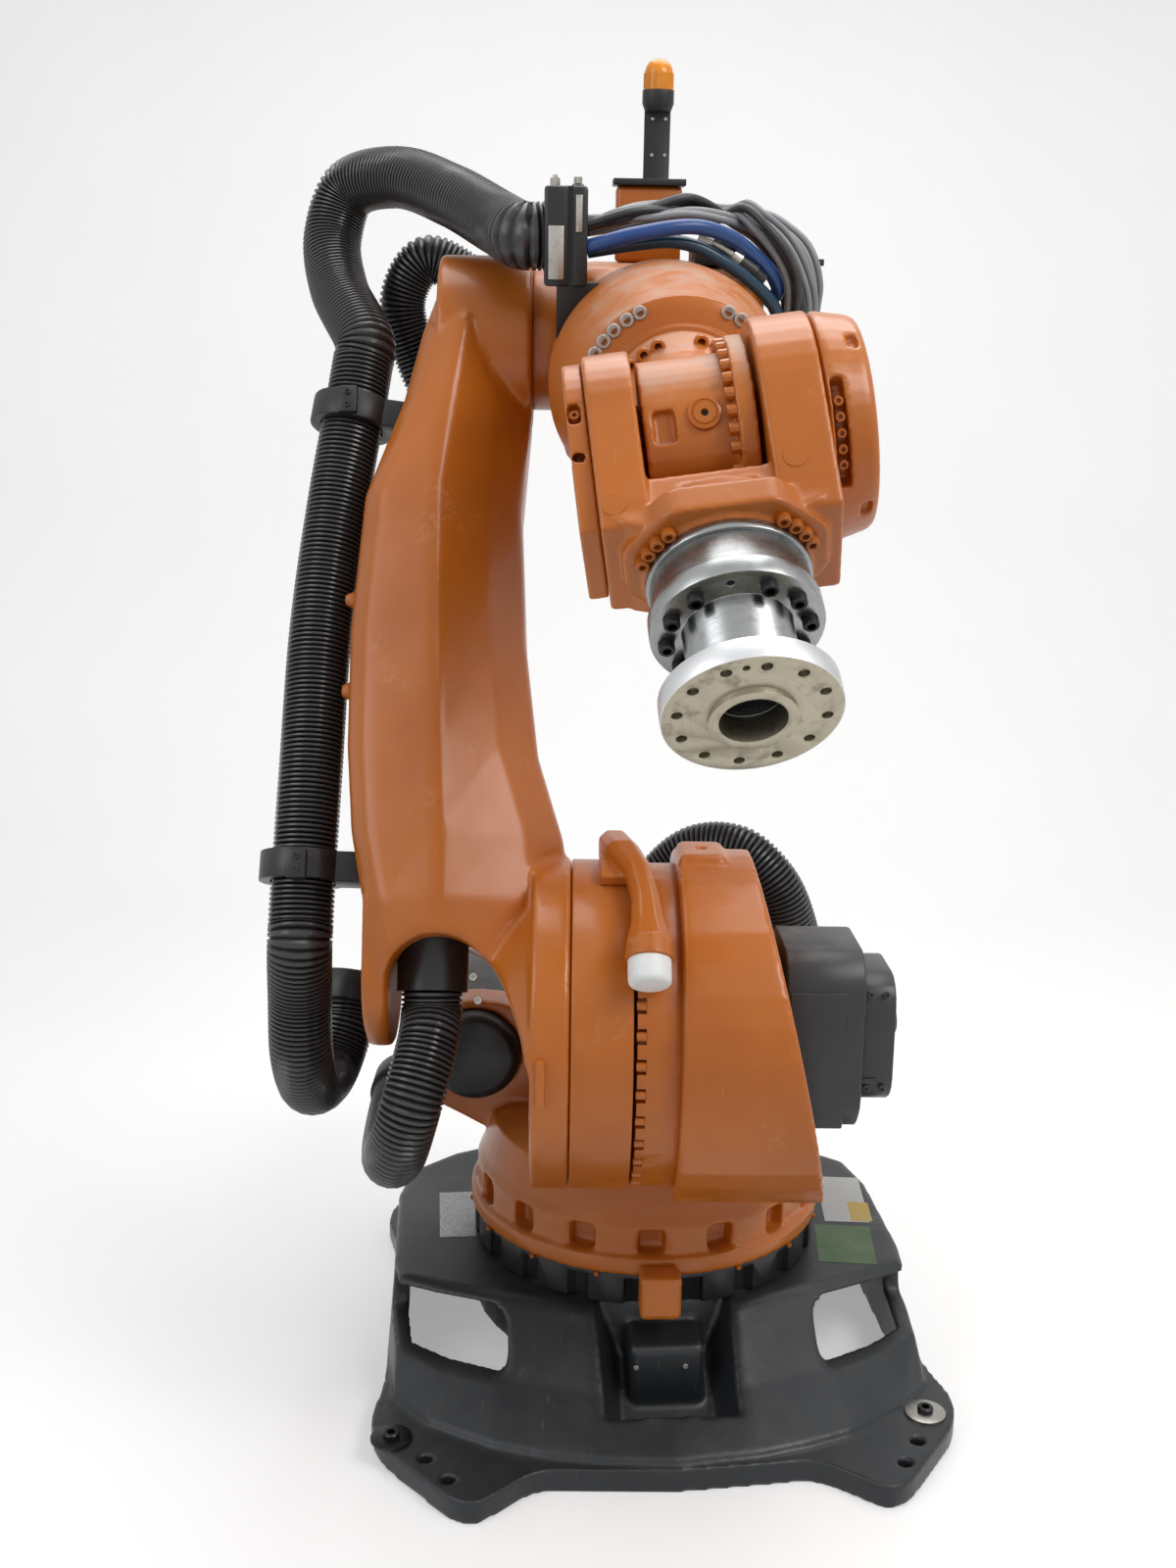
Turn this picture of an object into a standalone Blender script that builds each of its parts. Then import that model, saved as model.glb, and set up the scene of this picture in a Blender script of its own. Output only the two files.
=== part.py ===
"""Six-axis industrial robot arm with its hose pack, modelled in metres.

Origin: on the first axis, at the underside of the base. +X points forward, +Z up.
The arm stands in the pose of the photograph: link arm leaned back, forearm a little
down, hand bent down towards the floor.
"""
from math import cos, pi, radians, sin

import bmesh
import bpy
from mathutils import Matrix, Vector

# Axis layout
A2_FORWARD = 0.350
A2_HEIGHT = 0.750
LINK_LENGTH = 1.250
FOREARM_LENGTH = 1.100
FOREARM_DROP = 0.055
FLANGE_REACH = 0.230

# Pose at rest, degrees
BASE_TURN = 4.0
LINK_LEAN = 21.8
FOREARM_SLOPE = 7.1
WRIST_ROLL = 8.3
WRIST_BEND = 36.5

# Clearances
SEAT = 0.0003
RUNNING = 0.006

# Base casting
BASE_HALF_WIDTH = 0.503
BASE_FRONT = 0.580
BASE_REAR = 0.430
TOE_REACH = 0.068
FOOT_THICK = 0.042
DECK_HEIGHT = 0.200
DECK_FRONT = 0.338
WINDOW_LOW = 0.105
WINDOW_INNER = 0.280
WINDOW_REAR = 0.135
RECESS_HALF_WIDTH = 0.125
DRIVE_BOX_HALF_WIDTH = 0.066
CASTING_WALL = 0.028
RIM_HEIGHT = 0.060
POT_RADIUS = 0.170
PANEL_TOP = 0.185
ANCHOR_HOLES = ((0.452, 0.472), (0.520, 0.424), (0.578, 0.386))
ANCHOR_HOLE_RADIUS = 0.0125

# Column
RING_RADIUS = 0.335
RIM_RADIUS = RING_RADIUS + 0.001
RING_FLANGE = 0.032
RING_TOP = 0.350
PEDESTAL_RADIUS = 0.312
PEDESTAL_TOP = 0.455
CHEEK_INNER = 0.022
CHEEK_OUTER = 0.150
CHEEK_FLARE = 0.22
CHEEK_RADIUS = 0.300

# Counterbalance
BALANCE_Y = -0.335
BALANCE_Z = 0.560
BALANCE_RADIUS = 0.088
YOKE_LEFT = -0.440

# Second axis drum
DRUM_RADIUS = 0.280
HUB_FACE = -0.151
HUB_RING_END = -0.053
GEAR_RING_START = -0.047
MOTOR_Y = 0.205
HORN_REACH = 0.300
BUFFER_RADIUS = 0.034
# Horn: angle round the axis, distance from it, half depth, side, half width
HORN_SECTIONS = (
    (84.0, 0.303, 0.019, -0.080, 0.026),
    (75.0, 0.307, 0.025, -0.080, 0.026),
    (62.0, 0.308, 0.0245, -0.068, 0.028),
    (50.0, 0.308, 0.022, -0.045, 0.022),
    (38.0, 0.308, 0.021, -0.035, 0.022),
    (28.0, 0.311, 0.023, -0.032, 0.026),
    (20.0, 0.319, 0.033, -0.031, 0.036),
)
MOTOR_LENGTH = 0.130
MOTOR_COVER = 0.055

# Link arm: height along the arm, left side, crease, right side, half depth
LINK_SECTIONS = (
    (0.060, -0.475, -0.372, -0.160, 0.190),
    (0.190, -0.498, -0.369, -0.154, 0.195),
    (0.305, -0.522, -0.372, -0.167, 0.185),
    (0.455, -0.536, -0.379, -0.213, 0.170),
    (0.660, -0.540, -0.386, -0.238, 0.155),
    (0.906, -0.524, -0.392, -0.250, 0.148),
    (1.088, -0.461, -0.372, -0.237, 0.146),
    (1.217, -0.431, -0.350, -0.234, 0.148),
    (1.340, -0.400, -0.330, -0.234, 0.110),
)
LINK_TOP_RADIUS = 0.150

# Forearm
FOREARM_HALF_WIDTH = 0.178
FOREARM_TOP = 0.140
FRONT_RING_X = 0.698
FRONT_RING_RADIUS = 0.160
NECK_RADIUS = 0.085

# Hand
LEFT_DISC_RADIUS = 0.120
RIGHT_DISC_RADIUS = 0.139
LEFT_CHEEK = (-0.136, -0.079)
RIGHT_CHEEK = (0.062, 0.133)
LEFT_COVER = 0.024
RIGHT_COVER = 0.058
BRIDGE_X = (0.130, 0.205)
BRIDGE_Z = (-0.064, 0.085)
BARREL_RADIUS = 0.104
FLANGE_RADIUS = 0.095
ADAPTER_LENGTH = 0.1915
ADAPTER_BORE = 0.0375
ADAPTER_BOSS = 0.049

# Hose pack
HOSE_RADIUS = 0.056
CLAMP_RADIUS = 0.076
CLAMP_WIDTH = 0.050

ORANGE = ((0.72, 0.20, 0.045), 0.42, 0.0)
CHARCOAL = ((0.045, 0.047, 0.050), 0.55, 0.0)
BLACK = ((0.015, 0.015, 0.016), 0.5, 0.0)
STEEL = ((0.62, 0.62, 0.60), 0.28, 1.0)
WHITE = ((0.85, 0.84, 0.80), 0.45, 0.0)
AMBER = ((0.95, 0.42, 0.03), 0.2, 0.0)
BLUE = ((0.03, 0.08, 0.40), 0.4, 0.0)
GREY = ((0.22, 0.22, 0.22), 0.5, 0.0)

for stale in list(bpy.data.objects):
    bpy.data.objects.remove(stale, do_unlink=True)

PARTS = bpy.data.collections.new("industrial_robot_arm")
CUTTERS = bpy.data.collections.new("cutters")
for group in (PARTS, CUTTERS):
    bpy.context.scene.collection.children.link(group)


# Scene helpers
def axis_empty(name, parent, matrix):
    """An empty that carries the pieces of one moving body."""
    empty = bpy.data.objects.new(name, None)
    PARTS.objects.link(empty)
    empty.parent = parent
    empty.matrix_local = matrix
    return empty


def shape(name, data, parent, place=None):
    """A tool shape: it stays a cutter until it is finished as a piece."""
    item = bpy.data.objects.new(name, data)
    CUTTERS.objects.link(item)
    item.hide_render = True
    item.display_type = "WIRE"
    item.parent = parent
    item.matrix_local = place if place is not None else Matrix.Identity(4)
    return item


def finish(item, colours, angle=35):
    """Turn a shape into a named piece with its own material and smooth shading."""
    CUTTERS.objects.unlink(item)
    PARTS.objects.link(item)
    item.hide_render = False
    item.display_type = "TEXTURED"
    colour, roughness, metallic = colours
    paint = bpy.data.materials.new(item.name + "_finish")
    paint.use_nodes = True
    shader = paint.node_tree.nodes["Principled BSDF"]
    shader.inputs["Base Color"].default_value = (*colour, 1.0)
    shader.inputs["Roughness"].default_value = roughness
    shader.inputs["Metallic"].default_value = metallic
    item.data.materials.clear()
    item.data.materials.append(paint)
    if item.type == "MESH":
        item.data.shade_smooth()
        item.data.set_sharp_from_angle(angle=radians(angle))
    return item


def combine(item, others, operation):
    for other in others:
        step = item.modifiers.new(operation.lower() + "_" + other.name, "BOOLEAN")
        step.operation = operation
        step.solver = "EXACT"
        step.object = other
    return item


def join(item, *others):
    return combine(item, others, "UNION")


def cut(item, *others):
    return combine(item, others, "DIFFERENCE")


def round_edges(item, width, segments=2, angle=40):
    bevel = item.modifiers.new("rounded_edges", "BEVEL")
    bevel.width = width
    bevel.segments = segments
    bevel.limit_method = "ANGLE"
    bevel.angle_limit = radians(angle)
    return item


def mesh_from(bm, name):
    mesh = bpy.data.meshes.new(name)
    bm.to_mesh(mesh)
    bm.free()
    return mesh


def box(name, low, high, parent, place=None):
    bm = bmesh.new()
    bmesh.ops.create_cube(bm, size=1.0)
    low, high = Vector(low), Vector(high)
    size = high - low
    bmesh.ops.scale(bm, vec=size, verts=bm.verts)
    bmesh.ops.translate(bm, vec=(low + high) / 2, verts=bm.verts)
    return shape(name, mesh_from(bm, name), parent, place)


def rod(name, start, end, radius, parent, radius_end=None, sides=32, place=None):
    """A round bar or cone from start to end."""
    start, end = Vector(start), Vector(end)
    along = end - start
    turn = along.to_track_quat("Z", "Y").to_matrix().to_4x4()
    bm = bmesh.new()
    bmesh.ops.create_cone(
        bm,
        cap_ends=True,
        segments=sides,
        radius1=radius,
        radius2=radius if radius_end is None else radius_end,
        depth=along.length,
        matrix=Matrix.Translation((start + end) / 2) @ turn,
    )
    return shape(name, mesh_from(bm, name), parent, place)


def turned(name, profile, parent, place=None, steps=64):
    """A turned solid: the profile runs from the top down its outer side, about local Z."""
    mesh = bpy.data.meshes.new(name)
    points = [(radius, 0.0, height) for radius, height in profile]
    edges = [(i, i + 1) for i in range(len(points) - 1)]
    mesh.from_pydata(points, edges, [])
    item = shape(name, mesh, parent, place)
    screw = item.modifiers.new("turning", "SCREW")
    screw.axis = "Z"
    screw.steps = steps
    screw.render_steps = steps
    screw.use_merge_vertices = True
    screw.merge_threshold = 0.0001
    screw.use_smooth_shade = True
    return item


def arc_corners(corners, steps=4):
    """Replace each corner (x, y, radius) of a closed outline by an arc."""
    outline = []
    count = len(corners)
    for i, (x, y, radius) in enumerate(corners):
        here = Vector((x, y))
        if radius <= 0:
            outline.append(here)
            continue
        before = Vector(corners[i - 1][:2]) - here
        after = Vector(corners[(i + 1) % count][:2]) - here
        reach = min(radius, 0.49 * before.length, 0.49 * after.length)
        first = here + before.normalized() * reach
        last = here + after.normalized() * reach
        for k in range(steps + 1):
            t = k / steps
            point = (1 - t) ** 2 * first + 2 * t * (1 - t) * here + t * t * last
            outline.append(point)
    return outline


def plate(name, outline, low, high, parent, across="Y", place=None):
    """An extruded flat outline: across Z it lies in XY, across Y in XZ, across X in YZ."""
    curve = bpy.data.curves.new(name + "_outline", "CURVE")
    curve.dimensions = "2D"
    curve.fill_mode = "BOTH"
    curve.extrude = (high - low) / 2
    line = curve.splines.new("POLY")
    line.points.add(len(outline) - 1)
    for point, spot in zip(line.points, outline):
        point.co = (spot[0], spot[1], 0.0, 1.0)
    line.use_cyclic_u = True
    holder = bpy.data.objects.new(name + "_outline", curve)
    bpy.context.scene.collection.objects.link(holder)
    bpy.context.view_layer.update()
    evaluated = holder.evaluated_get(bpy.context.evaluated_depsgraph_get())
    mesh = bpy.data.meshes.new_from_object(evaluated)
    bpy.data.objects.remove(holder)
    bm = bmesh.new()
    bm.from_mesh(mesh)
    bmesh.ops.remove_doubles(bm, verts=bm.verts, dist=0.00001)
    middle = (low + high) / 2
    turns = {
        "Z": Matrix(((1, 0, 0), (0, 1, 0), (0, 0, 1))),
        "Y": Matrix(((1, 0, 0), (0, 0, -1), (0, 1, 0))),
        "X": Matrix(((0, 0, 1), (1, 0, 0), (0, 1, 0))),
    }
    shift = {"Z": (0, 0, middle), "Y": (0, middle, 0), "X": (middle, 0, 0)}
    bmesh.ops.transform(bm, matrix=turns[across].to_4x4(), verts=bm.verts)
    bmesh.ops.translate(bm, vec=shift[across], verts=bm.verts)
    bmesh.ops.recalc_face_normals(bm, faces=bm.faces)
    bm.to_mesh(mesh)
    bm.free()
    mesh.materials.clear()
    return shape(name, mesh, parent, place)


def loft(name, rings, parent, place=None):
    """A closed skin through rings of equally many points, with flat ends."""
    bm = bmesh.new()
    rows = [[bm.verts.new(point) for point in ring] for ring in rings]
    count = len(rings[0])
    for lower, upper in zip(rows, rows[1:]):
        for i in range(count):
            k = (i + 1) % count
            bm.faces.new((lower[i], lower[k], upper[k], upper[i]))
    bm.faces.new(list(reversed(rows[0])))
    bm.faces.new(rows[-1])
    bmesh.ops.recalc_face_normals(bm, faces=bm.faces)
    return shape(name, mesh_from(bm, name), parent, place)


def smooth_route(points, spacing):
    """Evenly spaced points on one smooth curve through the route's own points."""
    route = [Vector(point) for point in points]
    ends = [2 * route[0] - route[1], *route, 2 * route[-1] - route[-2]]
    fine = []
    for a, b, c, d in zip(ends, ends[1:], ends[2:], ends[3:]):
        for k in range(24):
            t = k / 24
            fine.append(
                0.5 * ((2 * b) + (c - a) * t + (2 * a - 5 * b + 4 * c - d) * t**2
                       + (3 * b - a - 3 * c + d) * t**3)
            )
    fine.append(route[-1])
    length = sum((q - p).length for p, q in zip(fine, fine[1:]))
    count = max(3, round(length / spacing))
    result, walked, target = [fine[0]], 0.0, length / count
    for p, q in zip(fine, fine[1:]):
        step = (q - p).length
        while step > 0 and walked + step >= target * len(result) and len(result) < count:
            result.append(p.lerp(q, (target * len(result) - walked) / step))
        walked += step
    result.append(fine[-1])
    return result


def hose(name, points, radius, parent, colours, spacing=2.2, sides=3):
    """A round hose along a smooth route, with filled ends that stand square to their first stretch."""
    curve = bpy.data.curves.new(name, "CURVE")
    curve.dimensions = "3D"
    curve.bevel_depth = radius
    curve.bevel_resolution = sides
    curve.use_fill_caps = True
    route = [points[0], *smooth_route(points[1:-1], spacing * radius), points[-1]]
    line = curve.splines.new("POLY")
    line.points.add(len(route) - 1)
    for point, spot in zip(line.points, route):
        point.co = (*spot, 1.0)
    item = bpy.data.objects.new(name, curve)
    CUTTERS.objects.link(item)
    item.parent = parent
    return finish(item, colours)


def turn_y(degrees):
    return Matrix.Rotation(radians(degrees), 4, "Y")


# Axis frames, each carried by the one before
def build_frames():
    ground = axis_empty("base_axis", None, Matrix.Rotation(radians(BASE_TURN), 4, "Z"))
    column = axis_empty("column_axis", None, Matrix.Identity(4))
    link_spot = Matrix.Translation((A2_FORWARD, 0, A2_HEIGHT)) @ turn_y(-LINK_LEAN)
    link = axis_empty("link_axis", column, link_spot)
    elbow_spot = Matrix.Translation((0, 0, LINK_LENGTH)) @ turn_y(LINK_LEAN + FOREARM_SLOPE)
    forearm = axis_empty("forearm_axis", link, elbow_spot)
    roll = Matrix.Rotation(radians(WRIST_ROLL), 4, "X")
    wrist_spot = Matrix.Translation((FOREARM_LENGTH, 0, -FOREARM_DROP)) @ roll
    wrist = axis_empty("wrist_axis", forearm, wrist_spot)
    hand = axis_empty("hand_axis", wrist, turn_y(WRIST_BEND))
    tool = axis_empty("tool_axis", hand, Matrix.Translation((FLANGE_REACH, 0, 0)))
    return ground, column, link, forearm, wrist, hand, tool


GROUND, COLUMN, LINK, FOREARM, WRIST, HAND, TOOL = build_frames()

# Local matrices that stand a turned shape's axis along a frame's own axis
ALONG_X = Matrix.Rotation(radians(90), 4, "Y")
ALONG_Y = Matrix.Rotation(radians(-90), 4, "X")


def mirrored(half):
    """Close a half outline (y from 0 outwards) with its mirror image."""
    other = [(x, -y, r) for x, y, r in reversed(half) if y > 0]
    return half + other


def chamfered(x, y, half_width, half_height, across, up, radius=0.02):
    """A rectangle with its corners cut off and rounded."""
    corners = []
    for sx, sy in ((1, -1), (1, 1), (-1, 1), (-1, -1)):
        side = (x + sx * half_width, y + sy * (half_height - up), radius)
        end = (x + sx * (half_width - across), y + sy * half_height, radius)
        corners += [side, end] if sx * sy > 0 else [end, side]
    return arc_corners(corners, 2)


# Base
def foot_outline():
    """Foot plate with a splayed toe at each corner, the front edge drawn in between them."""
    front, rear, side = BASE_FRONT, BASE_REAR, BASE_HALF_WIDTH
    toe = front + TOE_REACH
    heel = rear + TOE_REACH + 0.022
    half = [
        (front, 0.000, 0.0),
        (front - 0.010, side - 0.353, 0.05),
        (front - 0.018, side - 0.263, 0.06),
        (toe - 0.035, side - 0.203, 0.04),
        (toe, side - 0.158, 0.03),
        (toe - 0.022, side - 0.118, 0.05),
        (front - 0.105, side + 0.002, 0.06),
        (front - 0.180, side + 0.024, 0.05),
        (front - 0.280, side, 0.05),
        (0.190 - rear, side, 0.05),
        (0.090 - rear, side + 0.025, 0.05),
        (0.010 - rear, side + 0.002, 0.06),
        (0.005 - heel, side - 0.103, 0.05),
        (-heel, side - 0.158, 0.03),
        (0.035 - heel, side - 0.213, 0.04),
        (-rear, side - 0.268, 0.06),
        (-rear, 0.0, 0.0),
    ]
    return arc_corners(mirrored(half), 3)


def skirt_ring(height, drop, inset=0.0):
    """One level of the sloping apron, between the deck's outline and its foot, moved in by a wall."""
    front, rear, side, deck = BASE_FRONT - 0.012, BASE_REAR, BASE_HALF_WIDTH, DECK_FRONT
    upper = [(deck, 0), (deck - 0.004, 0.140), (deck - 0.038, side - 0.288), (deck - 0.066, side - 0.203),
             (deck - 0.109, side - 0.096), (deck - 0.143, side - 0.023), (deck - 0.218, side - 0.013),
             (0.287 - rear, side - 0.011), (0.180 - rear, side - 0.033), (0.100 - rear, side - 0.123),
             (0.030 - rear, side - 0.273), (0.010 - rear, 0)]
    lower = [(front, 0), (front - 0.015, 0.140), (front - 0.035, side - 0.278), (front - 0.065, side - 0.193),
             (front - 0.135, side - 0.083), (front - 0.215, side - 0.018), (front - 0.365, side - 0.004),
             (0.287 - rear, side - 0.003), (0.170 - rear, side - 0.013), (0.080 - rear, side - 0.103),
             (0.015 - rear, side - 0.263), (0.002 - rear, 0)]
    half = []
    for (ux, uy), (lx, ly) in zip(upper, lower):
        spot = Vector((lx, ly)).lerp(Vector((ux, uy)), 1 - drop)
        half.append(spot - spot.normalized() * inset if inset else spot)
    loop = [tuple(spot) for spot in half] + [(spot.x, -spot.y) for spot in reversed(half[1:-1])]
    return [(x, y, height) for x, y in loop]


def window_tool(name, side):
    """The opening that wraps round each front corner of the apron, just below the deck."""
    near, far = sorted((side * WINDOW_INNER, side * 0.70))
    window = box(name, (WINDOW_REAR, near, WINDOW_LOW), (0.70, far, DECK_HEIGHT - 0.017), GROUND)
    return round_edges(window, 0.022, 2)


def recess_block(name, depth, grow):
    """Funnel square to the sloping apron, grown by a wall where it only keeps metal."""
    slope = Vector((-0.850, 0.526))
    normal = Vector((0.526, 0.850))
    foot = Vector((BASE_FRONT - 0.080, 0.094)) - slope * grow
    top = foot + slope * (0.235 + grow)
    rings = []
    for out, half in ((0.030, RECESS_HALF_WIDTH + 0.012 + grow), (-depth, RECESS_HALF_WIDTH - 0.040 + grow)):
        low, high = foot + normal * out, top + normal * out
        rings.append([(low.x, -half, low.y), (low.x, half, low.y), (high.x, half, high.y), (high.x, -half, high.y)])
    return loft(name, rings, GROUND)


def build_base():
    base = plate("base_frame", foot_outline(), 0.0, FOOT_THICK, GROUND, across="Z")
    crease = FOOT_THICK + 0.010
    edge = DECK_HEIGHT - 0.006
    levels = ((0.002, 1.0, 0.0), (crease, 1.0, 0.0), (0.110, 0.54, 0.0), (0.180, 0.10, 0.0), (edge, 0.015, 0.0),
              (DECK_HEIGHT, 0.0, 0.012))
    skirt = loft("base_skirt", [skirt_ring(z, drop, inset) for z, drop, inset in levels], GROUND)
    wall = CASTING_WALL
    hollow_levels = ((-0.020, 1.0, wall), (crease, 1.0, wall + 0.006), (0.110, 0.50, wall + 0.006),
                     (DECK_HEIGHT - wall, 0.0, wall))
    hollow = loft("base_hollow", [skirt_ring(z, drop, inset) for z, drop, inset in hollow_levels], GROUND)
    cut(hollow, recess_block("recess_walls", 0.103, 0.020))
    neck = rod("base_neck", (0, 0, 0.060), (0, 0, DECK_HEIGHT + 0.004), RING_RADIUS, GROUND, RING_RADIUS - 0.015, 40)
    join(base, skirt)
    cut(base, hollow, recess_block("base_recess", 0.085, 0.0))
    half = DRIVE_BOX_HALF_WIDTH
    drive_box = box("base_drive_box", (0.20, -half, 0.030), (0.408, half, 0.166), GROUND)
    round_edges(drive_box, 0.008, 1)
    pot = rod("base_pot", (0, 0, 0), (0, 0, 0.100), POT_RADIUS, GROUND, sides=32)
    join(base, neck, drive_box, pot)
    cut(base, window_tool("base_window_left", -1), window_tool("base_window_right", 1))
    behind = BASE_FRONT - BASE_REAR - 0.022
    for x_side in (1, -1):
        for y_side in (1, -1):
            for k, (x, y) in enumerate(ANCHOR_HOLES):
                spot = (x_side * x + (0.0 if x_side > 0 else behind), y_side * y)
                name = "anchor_hole_%d_%d_%d" % (x_side + 1, y_side + 1, k)
                cut(base, rod(name, (*spot, -0.01), (*spot, 0.08), ANCHOR_HOLE_RADIUS, GROUND, sides=10))
    return finish(base, CHARCOAL)


def build_rim():
    """Black toothed rim between the base and the turning column."""
    bottom = DECK_HEIGHT + 0.004 + SEAT
    rim = rod("slewing_rim", (0, 0, bottom), (0, 0, bottom + RIM_HEIGHT), RIM_RADIUS, GROUND, sides=60)
    for k in range(20):
        a = 2 * pi * (k + 0.5) / 20
        spot = Vector((cos(a), sin(a), 0)) * (RIM_RADIUS + 0.004)
        notch = rod("rim_notch_%d" % k, (*spot.xy, bottom - 0.01), (*spot.xy, bottom + 0.05), 0.022, GROUND, sides=8)
        cut(rim, notch)
    return finish(rim, BLACK)


def build_connection_panel():
    """Connector housing at the rear of the base, where the cables come in."""
    panel = box("connection_panel", (-0.530, -0.160, 0.028), (-BASE_REAR - SEAT, 0.160, PANEL_TOP), GROUND)
    round_edges(panel, 0.008, 2)
    return finish(panel, CHARCOAL)


RIM_TOP = DECK_HEIGHT + 0.004 + SEAT + RIM_HEIGHT
RING_BOTTOM = RIM_TOP + SEAT


# Column
def build_column():
    column = turned(
        "rotating_column",
        [(0, PEDESTAL_TOP), (PEDESTAL_RADIUS - 0.042, PEDESTAL_TOP), (PEDESTAL_RADIUS - 0.012, PEDESTAL_TOP - 0.015),
         (PEDESTAL_RADIUS, RING_TOP + 0.050), (RING_RADIUS - 0.013, RING_TOP + 0.018), (RING_RADIUS - 0.004, RING_TOP),
         (RING_RADIUS - 0.004, RING_BOTTOM + RING_FLANGE + 0.004), (RING_RADIUS + 0.008, RING_BOTTOM + RING_FLANGE),
         (RING_RADIUS + 0.008, RING_BOTTOM), (0, RING_BOTTOM)],
        COLUMN, steps=64,
    )
    for k in range(16):
        a = 2 * pi * k / 16
        place = Matrix.Rotation(a, 4, "Z")
        pocket = box("ring_pocket_%d" % k, (RING_RADIUS - 0.035, -0.024, RING_BOTTOM + RING_FLANGE + 0.004),
                     (RING_RADIUS + 0.05, 0.024, RING_BOTTOM + 0.082), COLUMN, place)
        cut(column, pocket)
    floor = PEDESTAL_TOP - 0.005
    cheek_outline = [
        (A2_FORWARD - 0.55, floor), (A2_FORWARD - 0.07, floor), (A2_FORWARD + 0.05, floor + 0.016),
    ]
    lowest, highest = radians(-62), radians(118)
    for k in range(19):
        a = lowest + (highest - lowest) * k / 18
        cheek_outline.append((A2_FORWARD + CHEEK_RADIUS * cos(a), A2_HEIGHT + CHEEK_RADIUS * sin(a)))
    cheek_outline += [(A2_FORWARD - 0.26, 0.860), (A2_FORWARD - 0.50, 0.560)]
    cheek = plate("column_cheek", cheek_outline, CHEEK_INNER, 0.300, COLUMN)
    round_edges(cheek, 0.022, 3)
    flare = box("cheek_flare", (-1.2, 0.0, -1.0), (1.5, 0.6, 1.0), COLUMN,
                Matrix.Translation((0, CHEEK_OUTER, 1.050)) @ Matrix.Rotation(CHEEK_FLARE, 4, "X"))
    cut(cheek, flare)
    body = loft(
        "column_body",
        [
            [(0.220, -0.150, 0.360), (0.220, 0.215, 0.360), (-0.220, 0.215, 0.360), (-0.220, -0.215, 0.360)],
            [(0.130, -0.150, 0.560), (0.130, 0.150, 0.560), (-0.200, 0.150, 0.560), (-0.200, -0.200, 0.560)],
        ],
        COLUMN,
    )
    round_edges(body, 0.020, 2)
    yoke = plate(
        "counterbalance_yoke",
        arc_corners([(YOKE_LEFT, 0.470, 0.02), (YOKE_LEFT, 0.560, 0.10), (-0.400, 0.665, 0.08), (-0.260, 0.665, 0.06),
                     (-0.150, 0.560, 0.02), (-0.120, 0.470, 0.03), (-0.140, 0.380, 0.0), (-0.270, 0.380, 0.02)]),
        -0.060, 0.020, COLUMN, across="X",
    )
    round_edges(yoke, 0.010, 2)
    socket = rod("yoke_socket", (-0.2, BALANCE_Y, BALANCE_Z), (0.2, BALANCE_Y, BALANCE_Z), BALANCE_RADIUS + SEAT, COLUMN,
                 sides=40)
    join(column, cheek, body, yoke)
    cut(column, socket)
    lug = box("cheek_lug", (A2_FORWARD - 0.055, CHEEK_INNER + 0.004, 1.030), (A2_FORWARD + 0.055, 0.105, 1.060), COLUMN)
    round_edges(lug, 0.008, 2)
    join(column, lug)
    cut(column, rod("lug_eye", (A2_FORWARD, 0.066, 1.0), (A2_FORWARD, 0.066, 1.1), 0.0085, COLUMN, sides=16))
    return finish(column, ORANGE)


def build_balance():
    """Counterbalance cylinder under the link arm, lying fore and aft in its yoke."""
    length = 0.560
    rounding = 0.020
    front = 0.055
    balance = turned(
        "counterbalance_cylinder",
        [(0, front), (BALANCE_RADIUS - rounding, front), (BALANCE_RADIUS - 0.005, front - 0.006),
         (BALANCE_RADIUS, front - rounding), (BALANCE_RADIUS, front - length),
         (BALANCE_RADIUS - 0.010, front - length - 0.010), (0, front - length - 0.010)],
        COLUMN, Matrix.Translation((0, BALANCE_Y, BALANCE_Z)) @ ALONG_X, steps=40,
    )
    return finish(balance, BLACK)


def build_stop_block():
    block = box("slewing_stop", (RING_RADIUS + 0.008 + SEAT, -0.037, 0.208), (RING_RADIUS + 0.062, 0.037, 0.290), COLUMN,
                Matrix.Rotation(radians(2.2), 4, "Z"))
    round_edges(block, 0.010, 2)
    return finish(block, ORANGE)


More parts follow.
